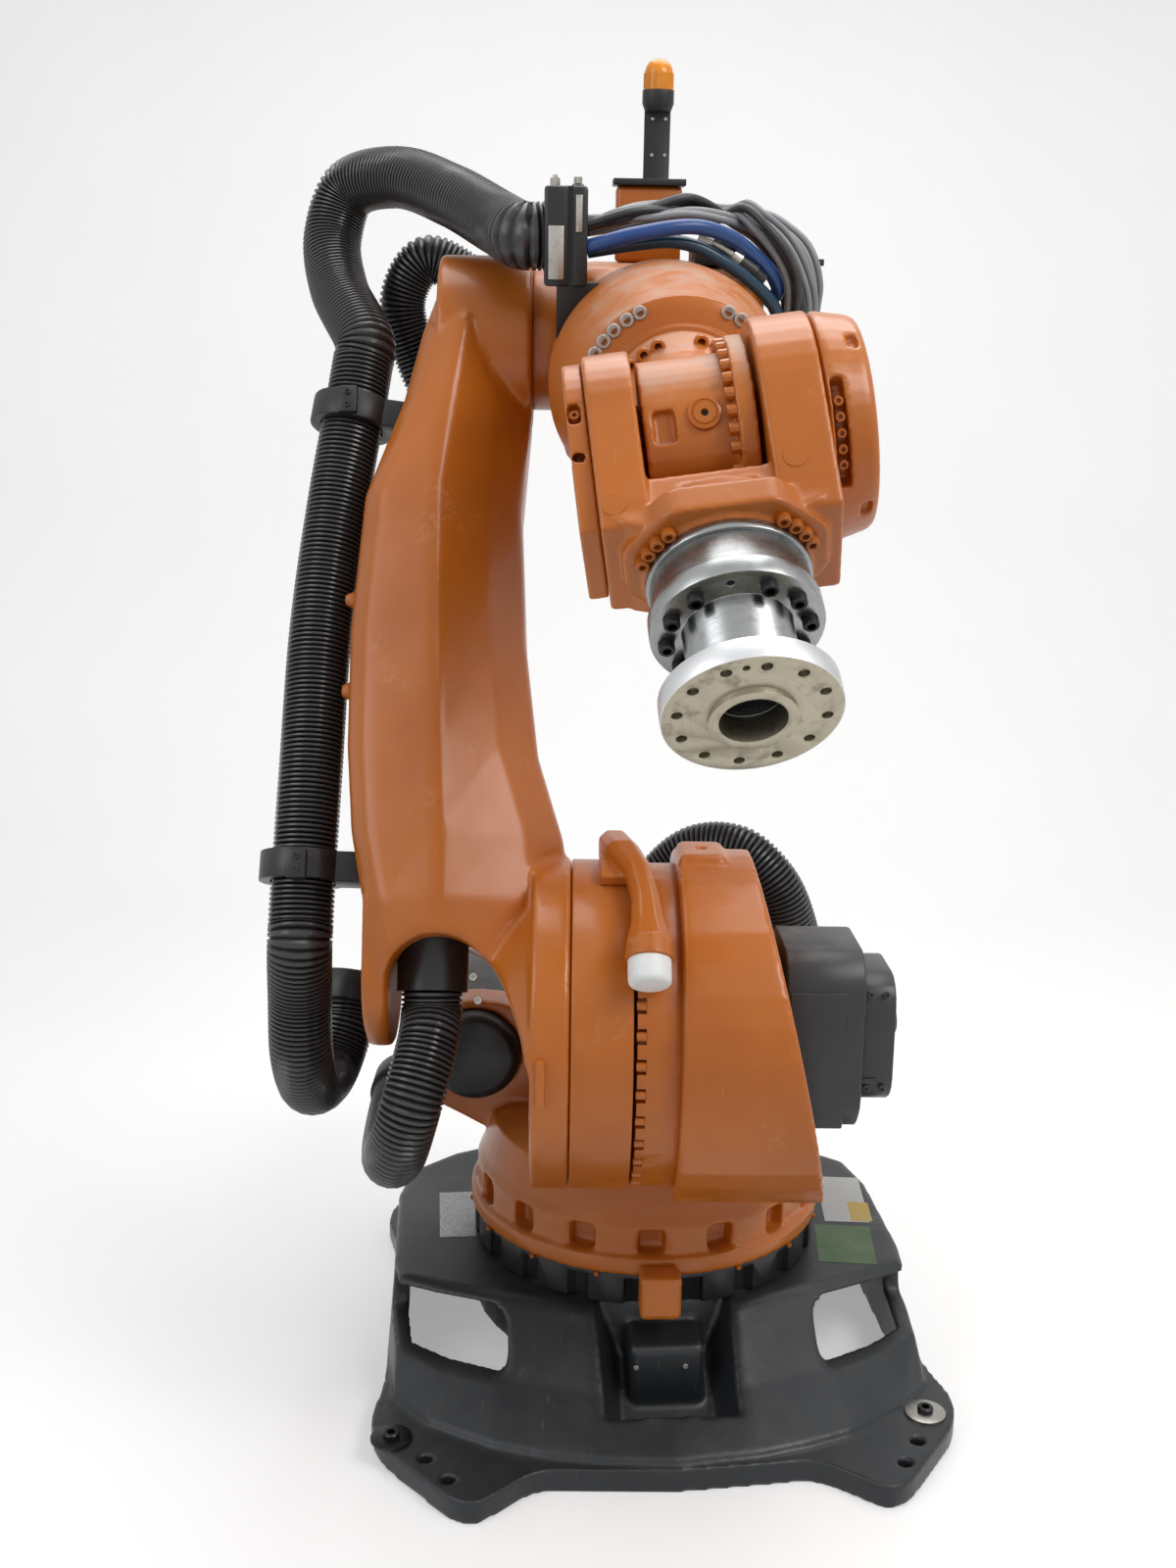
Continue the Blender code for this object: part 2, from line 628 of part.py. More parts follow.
def build_a2_drive():
    middle = (A2_FORWARD, A2_HEIGHT)
    gearbox = rod("a2_gearbox", (middle[0], GEAR_RING_START, middle[1]), (middle[0], CHEEK_INNER - SEAT, middle[1]),
                  DRUM_RADIUS - 0.006, COLUMN, sides=64)
    spigot = rod("a2_spigot", (middle[0], HUB_RING_END + SEAT, middle[1]), (middle[0], 0, middle[1]), 0.11, COLUMN)
    join(gearbox, spigot)
    finish(gearbox, ORANGE)
    motor = plate("a2_motor", chamfered(*middle, 0.115, 0.155, 0.035, 0.045), MOTOR_Y, MOTOR_Y + MOTOR_LENGTH, COLUMN)
    round_edges(motor, 0.006, 2)
    seat_depth = 0.105
    seat = rod("a2_motor_seat", (middle[0], MOTOR_Y - seat_depth, middle[1]), (middle[0], MOTOR_Y + 0.01, middle[1]),
               0.105, COLUMN)
    join(motor, seat)
    finish(motor, CHARCOAL)
    gap = 0.001
    pocket = plate("motor_pocket", chamfered(*middle, 0.115 + gap, 0.155 + gap, 0.035, 0.045), MOTOR_Y - SEAT,
                   MOTOR_Y + MOTOR_LENGTH, COLUMN)
    bore = rod("motor_bore", (middle[0], MOTOR_Y - seat_depth - SEAT, middle[1]), (middle[0], MOTOR_Y + 0.02, middle[1]),
               0.105 + SEAT, COLUMN)
    cut(bpy.data.objects["rotating_column"], pocket, bore)
    cover_start = MOTOR_Y + MOTOR_LENGTH + SEAT
    cover = plate("a2_motor_cover", chamfered(*middle, 0.095, 0.112, 0.032, 0.030), cover_start,
                  MOTOR_Y + MOTOR_LENGTH + MOTOR_COVER, COLUMN)
    round_edges(cover, 0.006, 2)
    end = MOTOR_Y + MOTOR_LENGTH + MOTOR_COVER
    knob = rod("a2_cover_knob", (0.37, end - 0.01, 0.765), (0.37, end + 0.014, 0.765), 0.021, COLUMN, sides=20)
    join(cover, knob)
    finish(cover, CHARCOAL)


# Link arm
def link_ring(z, left, crease, right, depth):
    front = depth
    back = -depth
    return [
        (front - 0.010, left + 0.030, z), (front + 0.012, crease, z), (front - 0.050, right - 0.060, z),
        (front - 0.120, right, z), (back + 0.060, right, z), (back + 0.012, right - 0.045, z),
        (back, left + 0.050, z), (back + 0.045, left, z), (front - 0.045, left, z),
    ]


def build_link():
    link = loft("link_arm", [link_ring(*section) for section in LINK_SECTIONS], LINK)
    round_edges(link, 0.010, 2, 25)
    hub = rod("link_hub_flange", (0, -0.215, 0), (0, HUB_FACE - SEAT, 0), DRUM_RADIUS, LINK, sides=64)
    shoulder = rod("link_shoulder", (0, -0.300, 0.02), (0, -0.205, 0), 0.180, LINK, 0.275, 48)
    head = rod("link_head", (0, -0.405, LINK_LENGTH), (0, -0.2345, LINK_LENGTH), LINK_TOP_RADIUS, LINK, sides=48)
    lobe = plate(
        "link_lobe",
        arc_corners([(-0.120, 0.200, 0), (0.170, 0.200, 0), (0.150, 0.020, 0.10), (0.060, -0.045, 0.10),
                     (-0.060, -0.045, 0.10), (-0.140, 0.040, 0.10)]),
        -0.495, -0.452, LINK,
    )
    mouth = plate(
        "link_mouth",
        arc_corners([(-0.454, -0.400, 0), (-0.454, 0.090, 0.04), (-0.400, 0.135, 0.05), (-0.330, 0.130, 0.06),
                     (-0.270, 0.075, 0.06), (-0.222, -0.050, 0.05), (-0.222, -0.400, 0)]),
        -0.5, 0.5, LINK, across="X",
    )
    join(link, shoulder, hub, head, lobe)
    cut(link, mouth)
    spigot = rod("link_spigot", BACK_SPIGOT, (BACK_SPIGOT[0] + 0.08, *BACK_SPIGOT[1:]), HOSE_RADIUS, LINK)
    pocket = rod("duct_pocket", (*DUCT, -0.1), (*DUCT, 0.200 + SEAT), 0.060 + SEAT, LINK, sides=32)
    join(link, spigot)
    cut(link, pocket)
    duct = rod("link_duct", (*DUCT, DUCT_LOW), (*DUCT, 0.200), 0.060, LINK, sides=32)
    finish(duct, BLACK)
    cut(link, rod("hub_face_cut", (0, HUB_FACE - SEAT, 0), (0, 0.1, 0), DRUM_RADIUS + 0.1, LINK, sides=48))
    for k, z in enumerate((0.725, 0.560)):
        boss = rod("link_boss_%d" % k, (0.070, -0.556, z), (0.070, -0.520, z), 0.014, LINK, sides=16)
        join(link, boss)
    finish(link, ORANGE)
    ring = rod("link_hub_ring", (0, HUB_FACE, 0), (0, HUB_RING_END, 0), DRUM_RADIUS - 0.001, LINK, sides=64)
    finish(ring, ORANGE)
    build_buffer_horn()


def horn_ring(angle, reach, half_depth, y, half_width):
    """One rounded cross-section of the horn, at an angle round the second axis."""
    a = radians(angle)
    ring = []
    for out, side in ((1, 0.5), (0.5, 1), (-0.5, 1), (-1, 0.5), (-1, -0.5), (-0.5, -1), (0.5, -1), (1, -0.5)):
        r = reach + out * half_depth
        ring.append((r * cos(a), y + side * half_width, r * sin(a)))
    return ring


def build_buffer_horn():
    """Curved horn on the hub ring that carries the white end-stop buffer."""
    low_side, high_side = -0.106, -0.056
    foot = (DRUM_RADIUS - 0.001 + SEAT) / cos(radians(2.2))
    outline = []
    for k in range(9):
        a = radians(84 - 34 * k / 8)
        outline.append((HORN_REACH * cos(a), HORN_REACH * sin(a)))
    for k in range(9):
        a = radians(50 + 34 * k / 8)
        outline.append((foot * cos(a), foot * sin(a)))
    horn = plate("buffer_horn", outline, low_side, high_side, LINK)
    bar = loft("horn_bar", [horn_ring(*section) for section in HORN_SECTIONS], LINK)
    reach, side = HORN_SECTIONS[-1][1], HORN_SECTIONS[-1][3]
    ends = []
    for angle in (22.0, 15.5):
        a = radians(angle)
        ends.append(Vector((reach * cos(a), side, reach * sin(a))))
    collar = rod("buffer_collar", *ends, BUFFER_RADIUS + 0.001, LINK, BUFFER_RADIUS + 0.005, 24)
    join(horn, bar, collar)
    finish(horn, ORANGE)
    down = (ends[1] - ends[0]).normalized()
    buffer = rod("end_stop_buffer", ends[1] + down * SEAT, ends[1] + down * 0.041, BUFFER_RADIUS, LINK, sides=32)
    finish(buffer, WHITE)


def ring_clamp(name, centre, parent, direction, arm_to, carrier, colours=BLACK):
    """A split ring round the hose with its foot on what carries it."""
    centre = Vector(centre)
    direction = Vector(direction).normalized()
    half = direction * CLAMP_WIDTH / 2
    ring = rod(name, centre - half, centre + half, CLAMP_RADIUS, parent, sides=32)
    foot_end = Vector(arm_to)
    side = foot_end - centre
    side -= direction * side.dot(direction)
    reach = side.length
    side.normalize()
    up = direction.cross(side)
    place = Matrix((
        (side.x, up.x, direction.x, centre.x),
        (side.y, up.y, direction.y, centre.y),
        (side.z, up.z, direction.z, centre.z),
        (0, 0, 0, 1),
    ))
    foot = box(name + "_foot", (0, -0.045, -CLAMP_WIDTH / 2), (reach, 0.045, CLAMP_WIDTH / 2), parent, place)
    grown = CLAMP_WIDTH / 2 + SEAT
    pad = box(name + "_pad", (0, -0.045 - SEAT, -grown), (reach + SEAT, 0.045 + SEAT, grown), parent, place)
    cut(carrier, pad)
    bore = rod(name + "_bore", centre - half * 2, centre + half * 2, HOSE_RADIUS + SEAT * 2, parent, sides=32)
    join(ring, foot)
    cut(ring, bore)
    return finish(ring, colours)


def forearm_shapes(name, extra):
    """Gear case and tapering tube of the forearm, grown by extra where it is a seat cutter."""
    half = FOREARM_HALF_WIDTH + extra
    drop = -FOREARM_DROP
    case = box(name, (-0.330, -half, drop - 0.165), (0.160, half, FOREARM_TOP + extra), FOREARM)
    round_edges(case, 0.050, 3)
    profile = ((0.655, 0.150), (0.640, 0.152), (0.590, 0.152), (0.480, 0.172), (0.300, 0.202), (0.150, 0.205), (0.050, 0.180))
    outer = [(radius + extra, along) for along, radius in profile]
    tube = turned(
        name + "_tube",
        [(0, 0.655), *outer, (0, 0.050)],
        FOREARM, Matrix.Translation((0, 0, drop)) @ ALONG_X, steps=64,
    )
    return case, tube


def build_forearm():
    half = FOREARM_HALF_WIDTH
    drop = -FOREARM_DROP
    housing, tube = forearm_shapes("forearm_housing", 0.0)
    join(housing, tube)
    finish(housing, ORANGE)
    ring = turned(
        "forearm_front_ring",
        [(0, FRONT_RING_X), (0.118, FRONT_RING_X), (0.122, FRONT_RING_X - 0.006), (0.142, FRONT_RING_X - 0.006),
         (FRONT_RING_RADIUS, FRONT_RING_X - 0.014), (FRONT_RING_RADIUS, 0.655 + SEAT), (0, 0.655 + SEAT)],
        FOREARM, Matrix.Translation((0, 0, drop)) @ ALONG_X, steps=64,
    )
    finish(ring, ORANGE)
    gearbox = rod("elbow_gearbox", (0, -0.234 + SEAT, 0), (0, -half - SEAT, 0), 0.125, FOREARM, sides=48)
    finish(gearbox, CHARCOAL)
    cut(housing, rod("elbow_seat", (0, -0.3, 0), (0, -half, 0), 0.125 + SEAT, FOREARM, sides=48))
    back = -0.330 - SEAT
    for name, y, z in (("a4_motor", -0.085, 0.070), ("a5_motor", 0.085, 0.070), ("a6_motor", 0.000, -0.090)):
        motor = rod(name, (back, y, drop + z), (back - 0.200, y, drop + z), 0.062, FOREARM, sides=24)
        cap = rod(name + "_cap", (back - 0.19, y, drop + z), (back - 0.250, y, drop + z), 0.052, FOREARM, sides=24)
        join(motor, cap)
        finish(motor, CHARCOAL)


def build_wrist():
    """The neck turns on the fourth axis and carries the hand between its cheeks."""
    start = FRONT_RING_X + SEAT - FOREARM_LENGTH
    neck = turned(
        "wrist_neck",
        [(0, -0.160), (0.050, -0.160), (NECK_RADIUS - 0.010, -0.190), (NECK_RADIUS, -0.220),
         (NECK_RADIUS + 0.004, -0.320), (0.112, start + 0.030), (0.112, start), (0, start)],
        WRIST, ALONG_X, steps=48,
    )
    left, right = LEFT_CHEEK[1] + RUNNING, RIGHT_CHEEK[0] - RUNNING
    core = box("neck_core", (-0.200, left, -0.047), (0.0, right, 0.047), WRIST)
    round_edges(core, 0.020, 2)
    barrel = rod("neck_barrel", (0, left, 0), (0, right, 0), BARREL_RADIUS, WRIST, sides=48)
    collar = rod("neck_collar", (0, right - 0.022, 0), (0, right, 0), BARREL_RADIUS + 0.018, WRIST, sides=48)
    join(neck, core, barrel, collar)
    return finish(neck, ORANGE)


def pear(disc, reach, low, high):
    """A cheek's outline: a disc round the fifth axis drawn out to the bridge in front of it."""
    outline = []
    for k in range(25):
        a = radians(72 + 216 * k / 24)
        outline.append((disc * cos(a), disc * sin(a)))
    return outline + [(reach - 0.030, low - 0.010), (reach, low + 0.006), (reach, high - 0.006), (reach - 0.030, high + 0.004)]


def build_hand():
    """The fork that bends on the fifth axis, with a cheek on either side of the neck."""
    low, high = BRIDGE_Z
    inner, outer = BRIDGE_X
    left = plate("hand_fork", pear(LEFT_DISC_RADIUS, outer - 0.010, low, high), *LEFT_CHEEK, HAND)
    right = plate("hand_right_cheek", pear(RIGHT_DISC_RADIUS, outer - 0.004, low, high), *RIGHT_CHEEK, HAND)
    for cheek in (left, right):
        round_edges(cheek, 0.008, 1)
    left_end, right_end = LEFT_CHEEK[0] + 0.010, RIGHT_CHEEK[1] - 0.008
    bridge_outline = arc_corners(
        [(inner, left_end, 0), (outer - 0.020, left_end, 0.03), (outer, -0.095, 0.02),
         (outer, 0.095, 0.02), (outer - 0.020, right_end, 0.03), (inner, right_end, 0)],
        2,
    )
    bridge = plate("hand_bridge", bridge_outline, low, high, HAND, across="Z")
    round_edges(bridge, 0.006, 1)
    lip = FLANGE_REACH - 0.018
    nose_end = FLANGE_REACH - 0.012
    nose_profile = [(0, nose_end), (0.0955, nose_end), (0.0970, lip), (0.0970, 0.151), (0, 0.151)]
    nose = turned("hand_nose", nose_profile, HAND, ALONG_X, steps=48)
    ear_outline = chamfered(0.0, 0.0210, 0.1160, 0.0890, 0.0560, 0.0560, 0.0120)
    ears = plate("hand_ears", ear_outline, outer - 0.03, lip, HAND, across="X")
    gap = RUNNING - SEAT
    pins = [
        rod("hand_pin_left", (0, LEFT_CHEEK[1] - 0.02, 0), (0, LEFT_CHEEK[1] + gap, 0), 0.055, HAND),
        rod("hand_pin_right", (0, RIGHT_CHEEK[0] + 0.02, 0), (0, RIGHT_CHEEK[0] - gap, 0), 0.055, HAND),
    ]
    join(left, right, bridge, ears, nose, *pins)
    finish(left, ORANGE)
    near = LEFT_CHEEK[0] - SEAT
    outline = pear(LEFT_DISC_RADIUS - 0.008, outer - 0.022, low + 0.010, high - 0.014)
    cover = plate("hand_cover_left", outline, LEFT_CHEEK[0] - LEFT_COVER, near, HAND)
    round_edges(cover, 0.010, 2)
    finish(cover, ORANGE)
    near = RIGHT_CHEEK[1] + SEAT
    far = RIGHT_CHEEK[1] + RIGHT_COVER
    cover = rod("hand_cover_right", (0, near, 0), (0, far, 0), RIGHT_DISC_RADIUS, HAND, RIGHT_DISC_RADIUS - 0.014, 48)
    round_edges(cover, 0.010, 2)
    finish(cover, ORANGE)


def build_tool():
    """Steel flange of the sixth axis, the adapter on it and the adapter's end plate."""
    flange = rod("tool_flange", (-0.012 + SEAT, 0, 0), (0, 0, 0), FLANGE_RADIUS, TOOL, sides=48)
    finish(flange, STEEL)
    split = ADAPTER_LENGTH - 0.0345
    adapter = turned(
        "tool_adapter",
        [(0, split), (0.062, split), (0.062, 0.067), (0.098, 0.067), (0.098, 0.043), (0.091, 0.042), (0.091, SEAT),
         (0, SEAT)],
        TOOL, ALONG_X, steps=48,
    )
    face = ADAPTER_LENGTH - 0.0075
    end_plate = turned(
        "adapter_plate",
        [(0, ADAPTER_LENGTH), (ADAPTER_BOSS, ADAPTER_LENGTH), (ADAPTER_BOSS, face), (0.099, face),
         (0.099, split + SEAT), (0, split + SEAT)],
        TOOL, ALONG_X, steps=48,
    )
    for item in (adapter, end_plate):
        cut(item, rod(item.name + "_bore", (-0.05, 0, 0), (0.30, 0, 0), ADAPTER_BORE, TOOL, sides=32))
        finish(item, STEEL)


# Routes of the hoses: the straight run in the link arm's frame, the others in the part's frame
LINK_RUN = [(0.032, -0.616, 0.160), (0.030, -0.616, 0.200), (0.020, -0.612, 0.420), (0.005, -0.606, 0.700), (0.000, -0.584, 0.940),
            (0.000, -0.560, 1.120), (0.000, -0.550, 1.200)]
TOP_LOOP = [(-0.235, -0.612, 2.010), (-0.300, -0.632, 2.110), (-0.310, -0.600, 2.200),
            (-0.245, -0.500, 2.215), (-0.130, -0.385, 2.165), (0.000, -0.290, 2.100)]
CLAMP_FACE = (0.210, -0.211, 0.183)
LOW_LOOP = [(0.310, -0.622, 0.780), (0.285, -0.626, 0.660), (0.210, -0.622, 0.570), (0.110, -0.606, 0.560)]
RETURN_END = (0.030, -0.580, 0.655)
RETURN_AXIS = (-0.55, 0.10, 0.82)
DUCT = (0.060, -0.385)
DUCT_LOW = 0.045
INNER_LOOP = [(0.440, -0.388, 0.745), (0.495, -0.412, 0.655), (0.475, -0.436, 0.570), (0.400, -0.455, 0.518), (0.280, -0.468, 0.500)]
INNER_END = (0.090, -0.474, 0.500)
CASE_GLAND = (-0.200, 0.030)
REAR_LOOP = [(-0.330, -0.330, 2.020), (-0.320, -0.450, 2.075), (-0.330, -0.500, 2.000), (-0.350, -0.470, 1.880),
             (-0.360, -0.405, 1.750), (-0.325, -0.355, 1.665)]
BACK_SPIGOT = (-0.172, -0.345, 1.080)
COLUMN_RUN = [(-0.125, -0.040, 0.700), (-0.150, 0.000, 0.830), (-0.140, 0.090, 0.930), (-0.110, 0.180, 0.940),
              (-0.090, 0.250, 0.880), (-0.110, 0.300, 0.760), (-0.200, 0.330, 0.600), (-0.400, 0.270, 0.420), (-0.470, 0.150, 0.300)]
COLUMN_GLAND = (-0.100, -0.045, 0.560)
PANEL_GLAND = (-0.476, 0.080)
CLAMP_RIGHT = -0.139
CABLE_RUN = [(0.200, CLAMP_RIGHT + SEAT, 0.200), (0.200, -0.105, 0.200), (0.185, 0.000, 0.230), (0.160, 0.120, 0.205),
             (0.150, 0.215, 0.110), (0.140, 0.246, 0.000), (0.080, 0.246, -0.090), (0.000, 0.225, -0.120),
             (0.000, FOREARM_HALF_WIDTH + SEAT, -0.120)]
BLUE_RUN = [(0.265, CLAMP_RIGHT + SEAT, 0.160), (0.265, -0.110, 0.160), (0.280, 0.000, 0.178), (0.235, 0.080, 0.168),
            (0.175, 0.095, 0.160), (0.140 + SEAT, 0.095, 0.160)]
CABLE_RADIUS = 0.030
BLUE_RADIUS = 0.013


def build_link_clamps():
    """Two black rings hold the hose beside the link arm."""
    build = (("link_clamp_lower", LINK_RUN[1], LINK_RUN[2], 0.25, -0.500), ("link_clamp_upper", LINK_RUN[4], LINK_RUN[5], 0.86, -0.400))
    for name, low, high, share, side in build:
        low, high = Vector(low), Vector(high)
        centre = low.lerp(high, share)
        ring_clamp(name, centre, LINK, high - low, (centre.x, side, centre.z), bpy.data.objects["link_arm"])


def in_part(frame, point):
    """A point of a body's own frame in the part's frame at rest."""
    bpy.context.view_layer.update()
    return frame.matrix_world @ Vector(point)


def joined_ends(route, first, towards, last, back):
    """Give a route two square ends, each a seat gap off the face that it meets."""
    first, towards, last, back = Vector(first), Vector(towards), Vector(last), Vector(back)
    lead = (towards - first).normalized()
    trail = (back - last).normalized()
    start = [first + lead * SEAT, first + lead * HOSE_RADIUS * 0.6]
    end = [last + trail * HOSE_RADIUS * 0.6, last + trail * SEAT]
    return start + [Vector(point) for point in route] + end


def beyond(a, b, distance=0.1):
    """The point that lies past b on the line from a."""
    a, b = Vector(a), Vector(b)
    return b + (b - a).normalized() * distance


def build_hoses():
    hose("link_hose", LINK_RUN, HOSE_RADIUS, LINK, BLACK)
    upper = in_part(LINK, LINK_RUN[-1])
    upper_next = in_part(LINK, beyond(LINK_RUN[-2], LINK_RUN[-1]))
    lower = in_part(LINK, LINK_RUN[0])
    lower_next = in_part(LINK, beyond(LINK_RUN[1], LINK_RUN[0]))
    clamp_face = in_part(FOREARM, CLAMP_FACE)
    clamp_out = in_part(FOREARM, (CLAMP_FACE[0], CLAMP_FACE[1] - 0.1, CLAMP_FACE[2]))
    top = joined_ends(TOP_LOOP, upper, upper_next, clamp_face, clamp_out)
    hose("elbow_hose_loop", top, HOSE_RADIUS, COLUMN, BLACK)
    away = Vector(RETURN_END) - Vector(RETURN_AXIS)
    low = joined_ends(LOW_LOOP, lower, lower_next, RETURN_END, away)
    hose("shoulder_hose_loop", low, HOSE_RADIUS, COLUMN, BLACK)
    duct_face = in_part(LINK, (*DUCT, DUCT_LOW))
    duct_out = in_part(LINK, (*DUCT, DUCT_LOW - 0.1))
    inner = joined_ends(INNER_LOOP, duct_face, duct_out, INNER_END, beyond((0, *INNER_END[1:]), INNER_END))
    hose("inner_hose_loop", inner, HOSE_RADIUS - 0.004, COLUMN, BLACK)
    case_face = in_part(FOREARM, (CASE_GLAND[0], -FOREARM_HALF_WIDTH, CASE_GLAND[1]))
    case_out = in_part(FOREARM, (CASE_GLAND[0], -FOREARM_HALF_WIDTH - 0.1, CASE_GLAND[1]))
    spigot = in_part(LINK, BACK_SPIGOT)
    spigot_out = in_part(LINK, (BACK_SPIGOT[0] - 0.1, *BACK_SPIGOT[1:]))
    rear = joined_ends(REAR_LOOP, case_face, case_out, spigot, spigot_out)
    hose("rear_hose_loop", rear, HOSE_RADIUS - 0.010, COLUMN, BLACK)
    panel_face = in_part(GROUND, (*PANEL_GLAND, PANEL_TOP))
    panel_out = in_part(GROUND, (*PANEL_GLAND, PANEL_TOP + 0.1))
    gland = Vector(COLUMN_GLAND)
    column = joined_ends(COLUMN_RUN, gland, gland + Vector((0, 0, 0.1)), panel_face, panel_out)
    hose("column_hose_loop", column, HOSE_RADIUS - 0.006, COLUMN, BLACK)
    hose("signal_cables", CABLE_RUN, CABLE_RADIUS, FOREARM, GREY, spacing=1.5)
    hose("air_hose", BLUE_RUN, BLUE_RADIUS, FOREARM, BLUE, spacing=2.5)


def build_return_clamp():
    """Bracket on the column's yoke that takes both hoses of the shoulder loop."""
    direction = Vector(RETURN_AXIS).normalized()
    start = Vector(RETURN_END)
    clamp = rod("return_clamp", start, start + direction * 0.056, CLAMP_RADIUS, COLUMN)
    lower = rod("return_gland", (0.0206, -0.474, 0.500), INNER_END, HOSE_RADIUS + 0.002, COLUMN)
    plate_low = (-0.055, YOKE_LEFT - 0.016, 0.440)
    side = box("return_plate", plate_low, (0.036, YOKE_LEFT - SEAT, 0.720), COLUMN)
    arm = box("return_arm", (-0.050, -0.560, 0.680), (0.004, YOKE_LEFT - 0.004, 0.718), COLUMN)
    join(clamp, arm, side, lower)
    finish(clamp, BLACK)


def build_top_gear():
    """Hose clamp, beacon, cable plate and connector plate on top of the forearm."""
    clamp = box("forearm_hose_clamp", (0.135, -0.211, 0.104), (0.285, -0.139, 0.262), FOREARM)
    round_edges(clamp, 0.006, 2)
    foot = box("clamp_foot", (0.150, -0.190, 0.020), (0.270, -0.120, 0.110), FOREARM)
    join(clamp, foot)
    finish(clamp, BLACK)
    cut(clamp, *forearm_shapes("clamp_seat", SEAT))
    plinth = box("beacon_plinth", (-0.150, -0.085, FOREARM_TOP + SEAT), (-0.050, 0.036, 0.275), FOREARM)
    round_edges(plinth, 0.008, 2)
    finish(plinth, ORANGE)
    bracket = box("beacon_bracket", (-0.160, -0.091, 0.275 + SEAT), (-0.040, 0.042, 0.287), FOREARM)
    strip = box("beacon_strip", (-0.112, -0.035, 0.280), (-0.104, 0.013, 0.430), FOREARM)
    shelf = rod("beacon_seat", (-0.100, -0.011, 0.420), (-0.100, -0.011, 0.440), 0.029, FOREARM, sides=24)
    join(bracket, strip, shelf)
    finish(bracket, BLACK)
    dome = turned(
        "beacon_dome",
        [(0, 0.502), (0.012, 0.500), (0.021, 0.493), (0.026, 0.480), (0.027, 0.440 + SEAT), (0, 0.440 + SEAT)],
        FOREARM, Matrix.Translation((-0.100, -0.011, 0)), steps=32,
    )
    finish(dome, AMBER)
    floor = FOREARM_TOP + SEAT
    comb = box("connector_plate", (-0.120, 0.070, floor), (-0.020, 0.300, floor + 0.012), FOREARM)
    block = box("connector_block", (-0.030, 0.050, floor), (0.140, 0.125, floor + 0.022), FOREARM)
    join(comb, block)
    cut(comb, *forearm_shapes("connector_seat", SEAT))
    finish(comb, BLACK)


build_base()
build_rim()
build_connection_panel()
build_column()
build_balance()
build_stop_block()
build_a2_drive()
build_link()
build_forearm()
build_wrist()
build_hand()
build_tool()
build_link_clamps()
build_hoses()
build_return_clamp()
build_top_gear()
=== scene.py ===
# %% [markdown]
# # Dressing a six-axis robot arm
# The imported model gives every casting, motor and hose its place and its size. This lesson keeps those
# places and gives the arm its looks: soft cast edges, paint, turned steel, ribbed hoses and bolts.
# All lengths are metres, the arm points along +X, and the floor is at Z = 0.

from math import cos, pi, radians, sin

import bmesh
import bpy
from mathutils import Matrix, Vector


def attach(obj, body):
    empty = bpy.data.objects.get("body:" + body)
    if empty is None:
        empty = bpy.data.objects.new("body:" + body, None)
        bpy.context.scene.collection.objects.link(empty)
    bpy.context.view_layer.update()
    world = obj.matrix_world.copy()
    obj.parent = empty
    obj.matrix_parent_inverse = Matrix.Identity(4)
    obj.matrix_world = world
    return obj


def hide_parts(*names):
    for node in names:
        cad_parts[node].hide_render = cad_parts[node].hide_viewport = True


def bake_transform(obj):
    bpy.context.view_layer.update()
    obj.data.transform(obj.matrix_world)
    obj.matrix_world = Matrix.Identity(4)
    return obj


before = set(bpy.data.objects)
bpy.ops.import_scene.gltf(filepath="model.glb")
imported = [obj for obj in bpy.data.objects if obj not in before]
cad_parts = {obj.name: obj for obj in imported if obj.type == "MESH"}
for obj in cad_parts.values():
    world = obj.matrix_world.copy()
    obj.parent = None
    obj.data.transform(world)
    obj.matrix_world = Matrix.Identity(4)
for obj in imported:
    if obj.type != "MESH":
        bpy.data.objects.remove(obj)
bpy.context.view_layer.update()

# %% [markdown]
# ## One frame for each moving part
# A robot is a chain: each part turns on the part before it. A bolt circle is easy to write down in the
# frame of the part that it sits on, with X along the part, so the six frames come first.

# %% Frames of the moving parts at rest


def turn(degrees, axis):
    return Matrix.Rotation(radians(degrees), 4, axis)


def move(x, y, z):
    return Matrix.Translation((x, y, z))


BASE = turn(4.0, "Z")
COLUMN = Matrix.Identity(4)
SHOULDER = move(0.35, 0, 0.75)
LINK = SHOULDER @ turn(-21.8, "Y")
FOREARM = LINK @ move(0, 0, 1.25) @ turn(28.9, "Y")
WRIST = FOREARM @ move(1.1, 0, -0.055) @ turn(8.3, "X")
HAND = WRIST @ turn(36.5, "Y")
TOOL = HAND @ move(0.23, 0, 0)
print("tool face centre:", [round(v, 4) for v in TOOL.translation])

# %% [markdown]
# ## Node groups that several finishes share
# Real paint is never one flat colour. Three small groups do most of the work: a slow drift of tone over
# a casting, pale rubs and scratches from handling, and dust on what faces up. They put out masks only,
# so each material decides what the mask does to its own colour and gloss.

# %% Small helpers that add nodes and join them


def feed(tree, socket, item):
    """Give a socket a plain number or colour, or link it to another socket."""
    if isinstance(item, bpy.types.NodeSocket):
        tree.links.new(item, socket)
    else:
        socket.default_value = (*item, 1.0) if isinstance(item, tuple) else item


def add_node(tree, kind, links=(), **values):
    """Add a node, set its plain properties and its sockets by name, and link its inputs."""
    node = tree.nodes.new(kind)
    for key, value in values.items():
        if key in node.inputs:
            node.inputs[key].default_value = value
        else:
            setattr(node, key, value)
    for socket, source in dict(links).items():
        tree.links.new(source, node.inputs[socket])
    return node


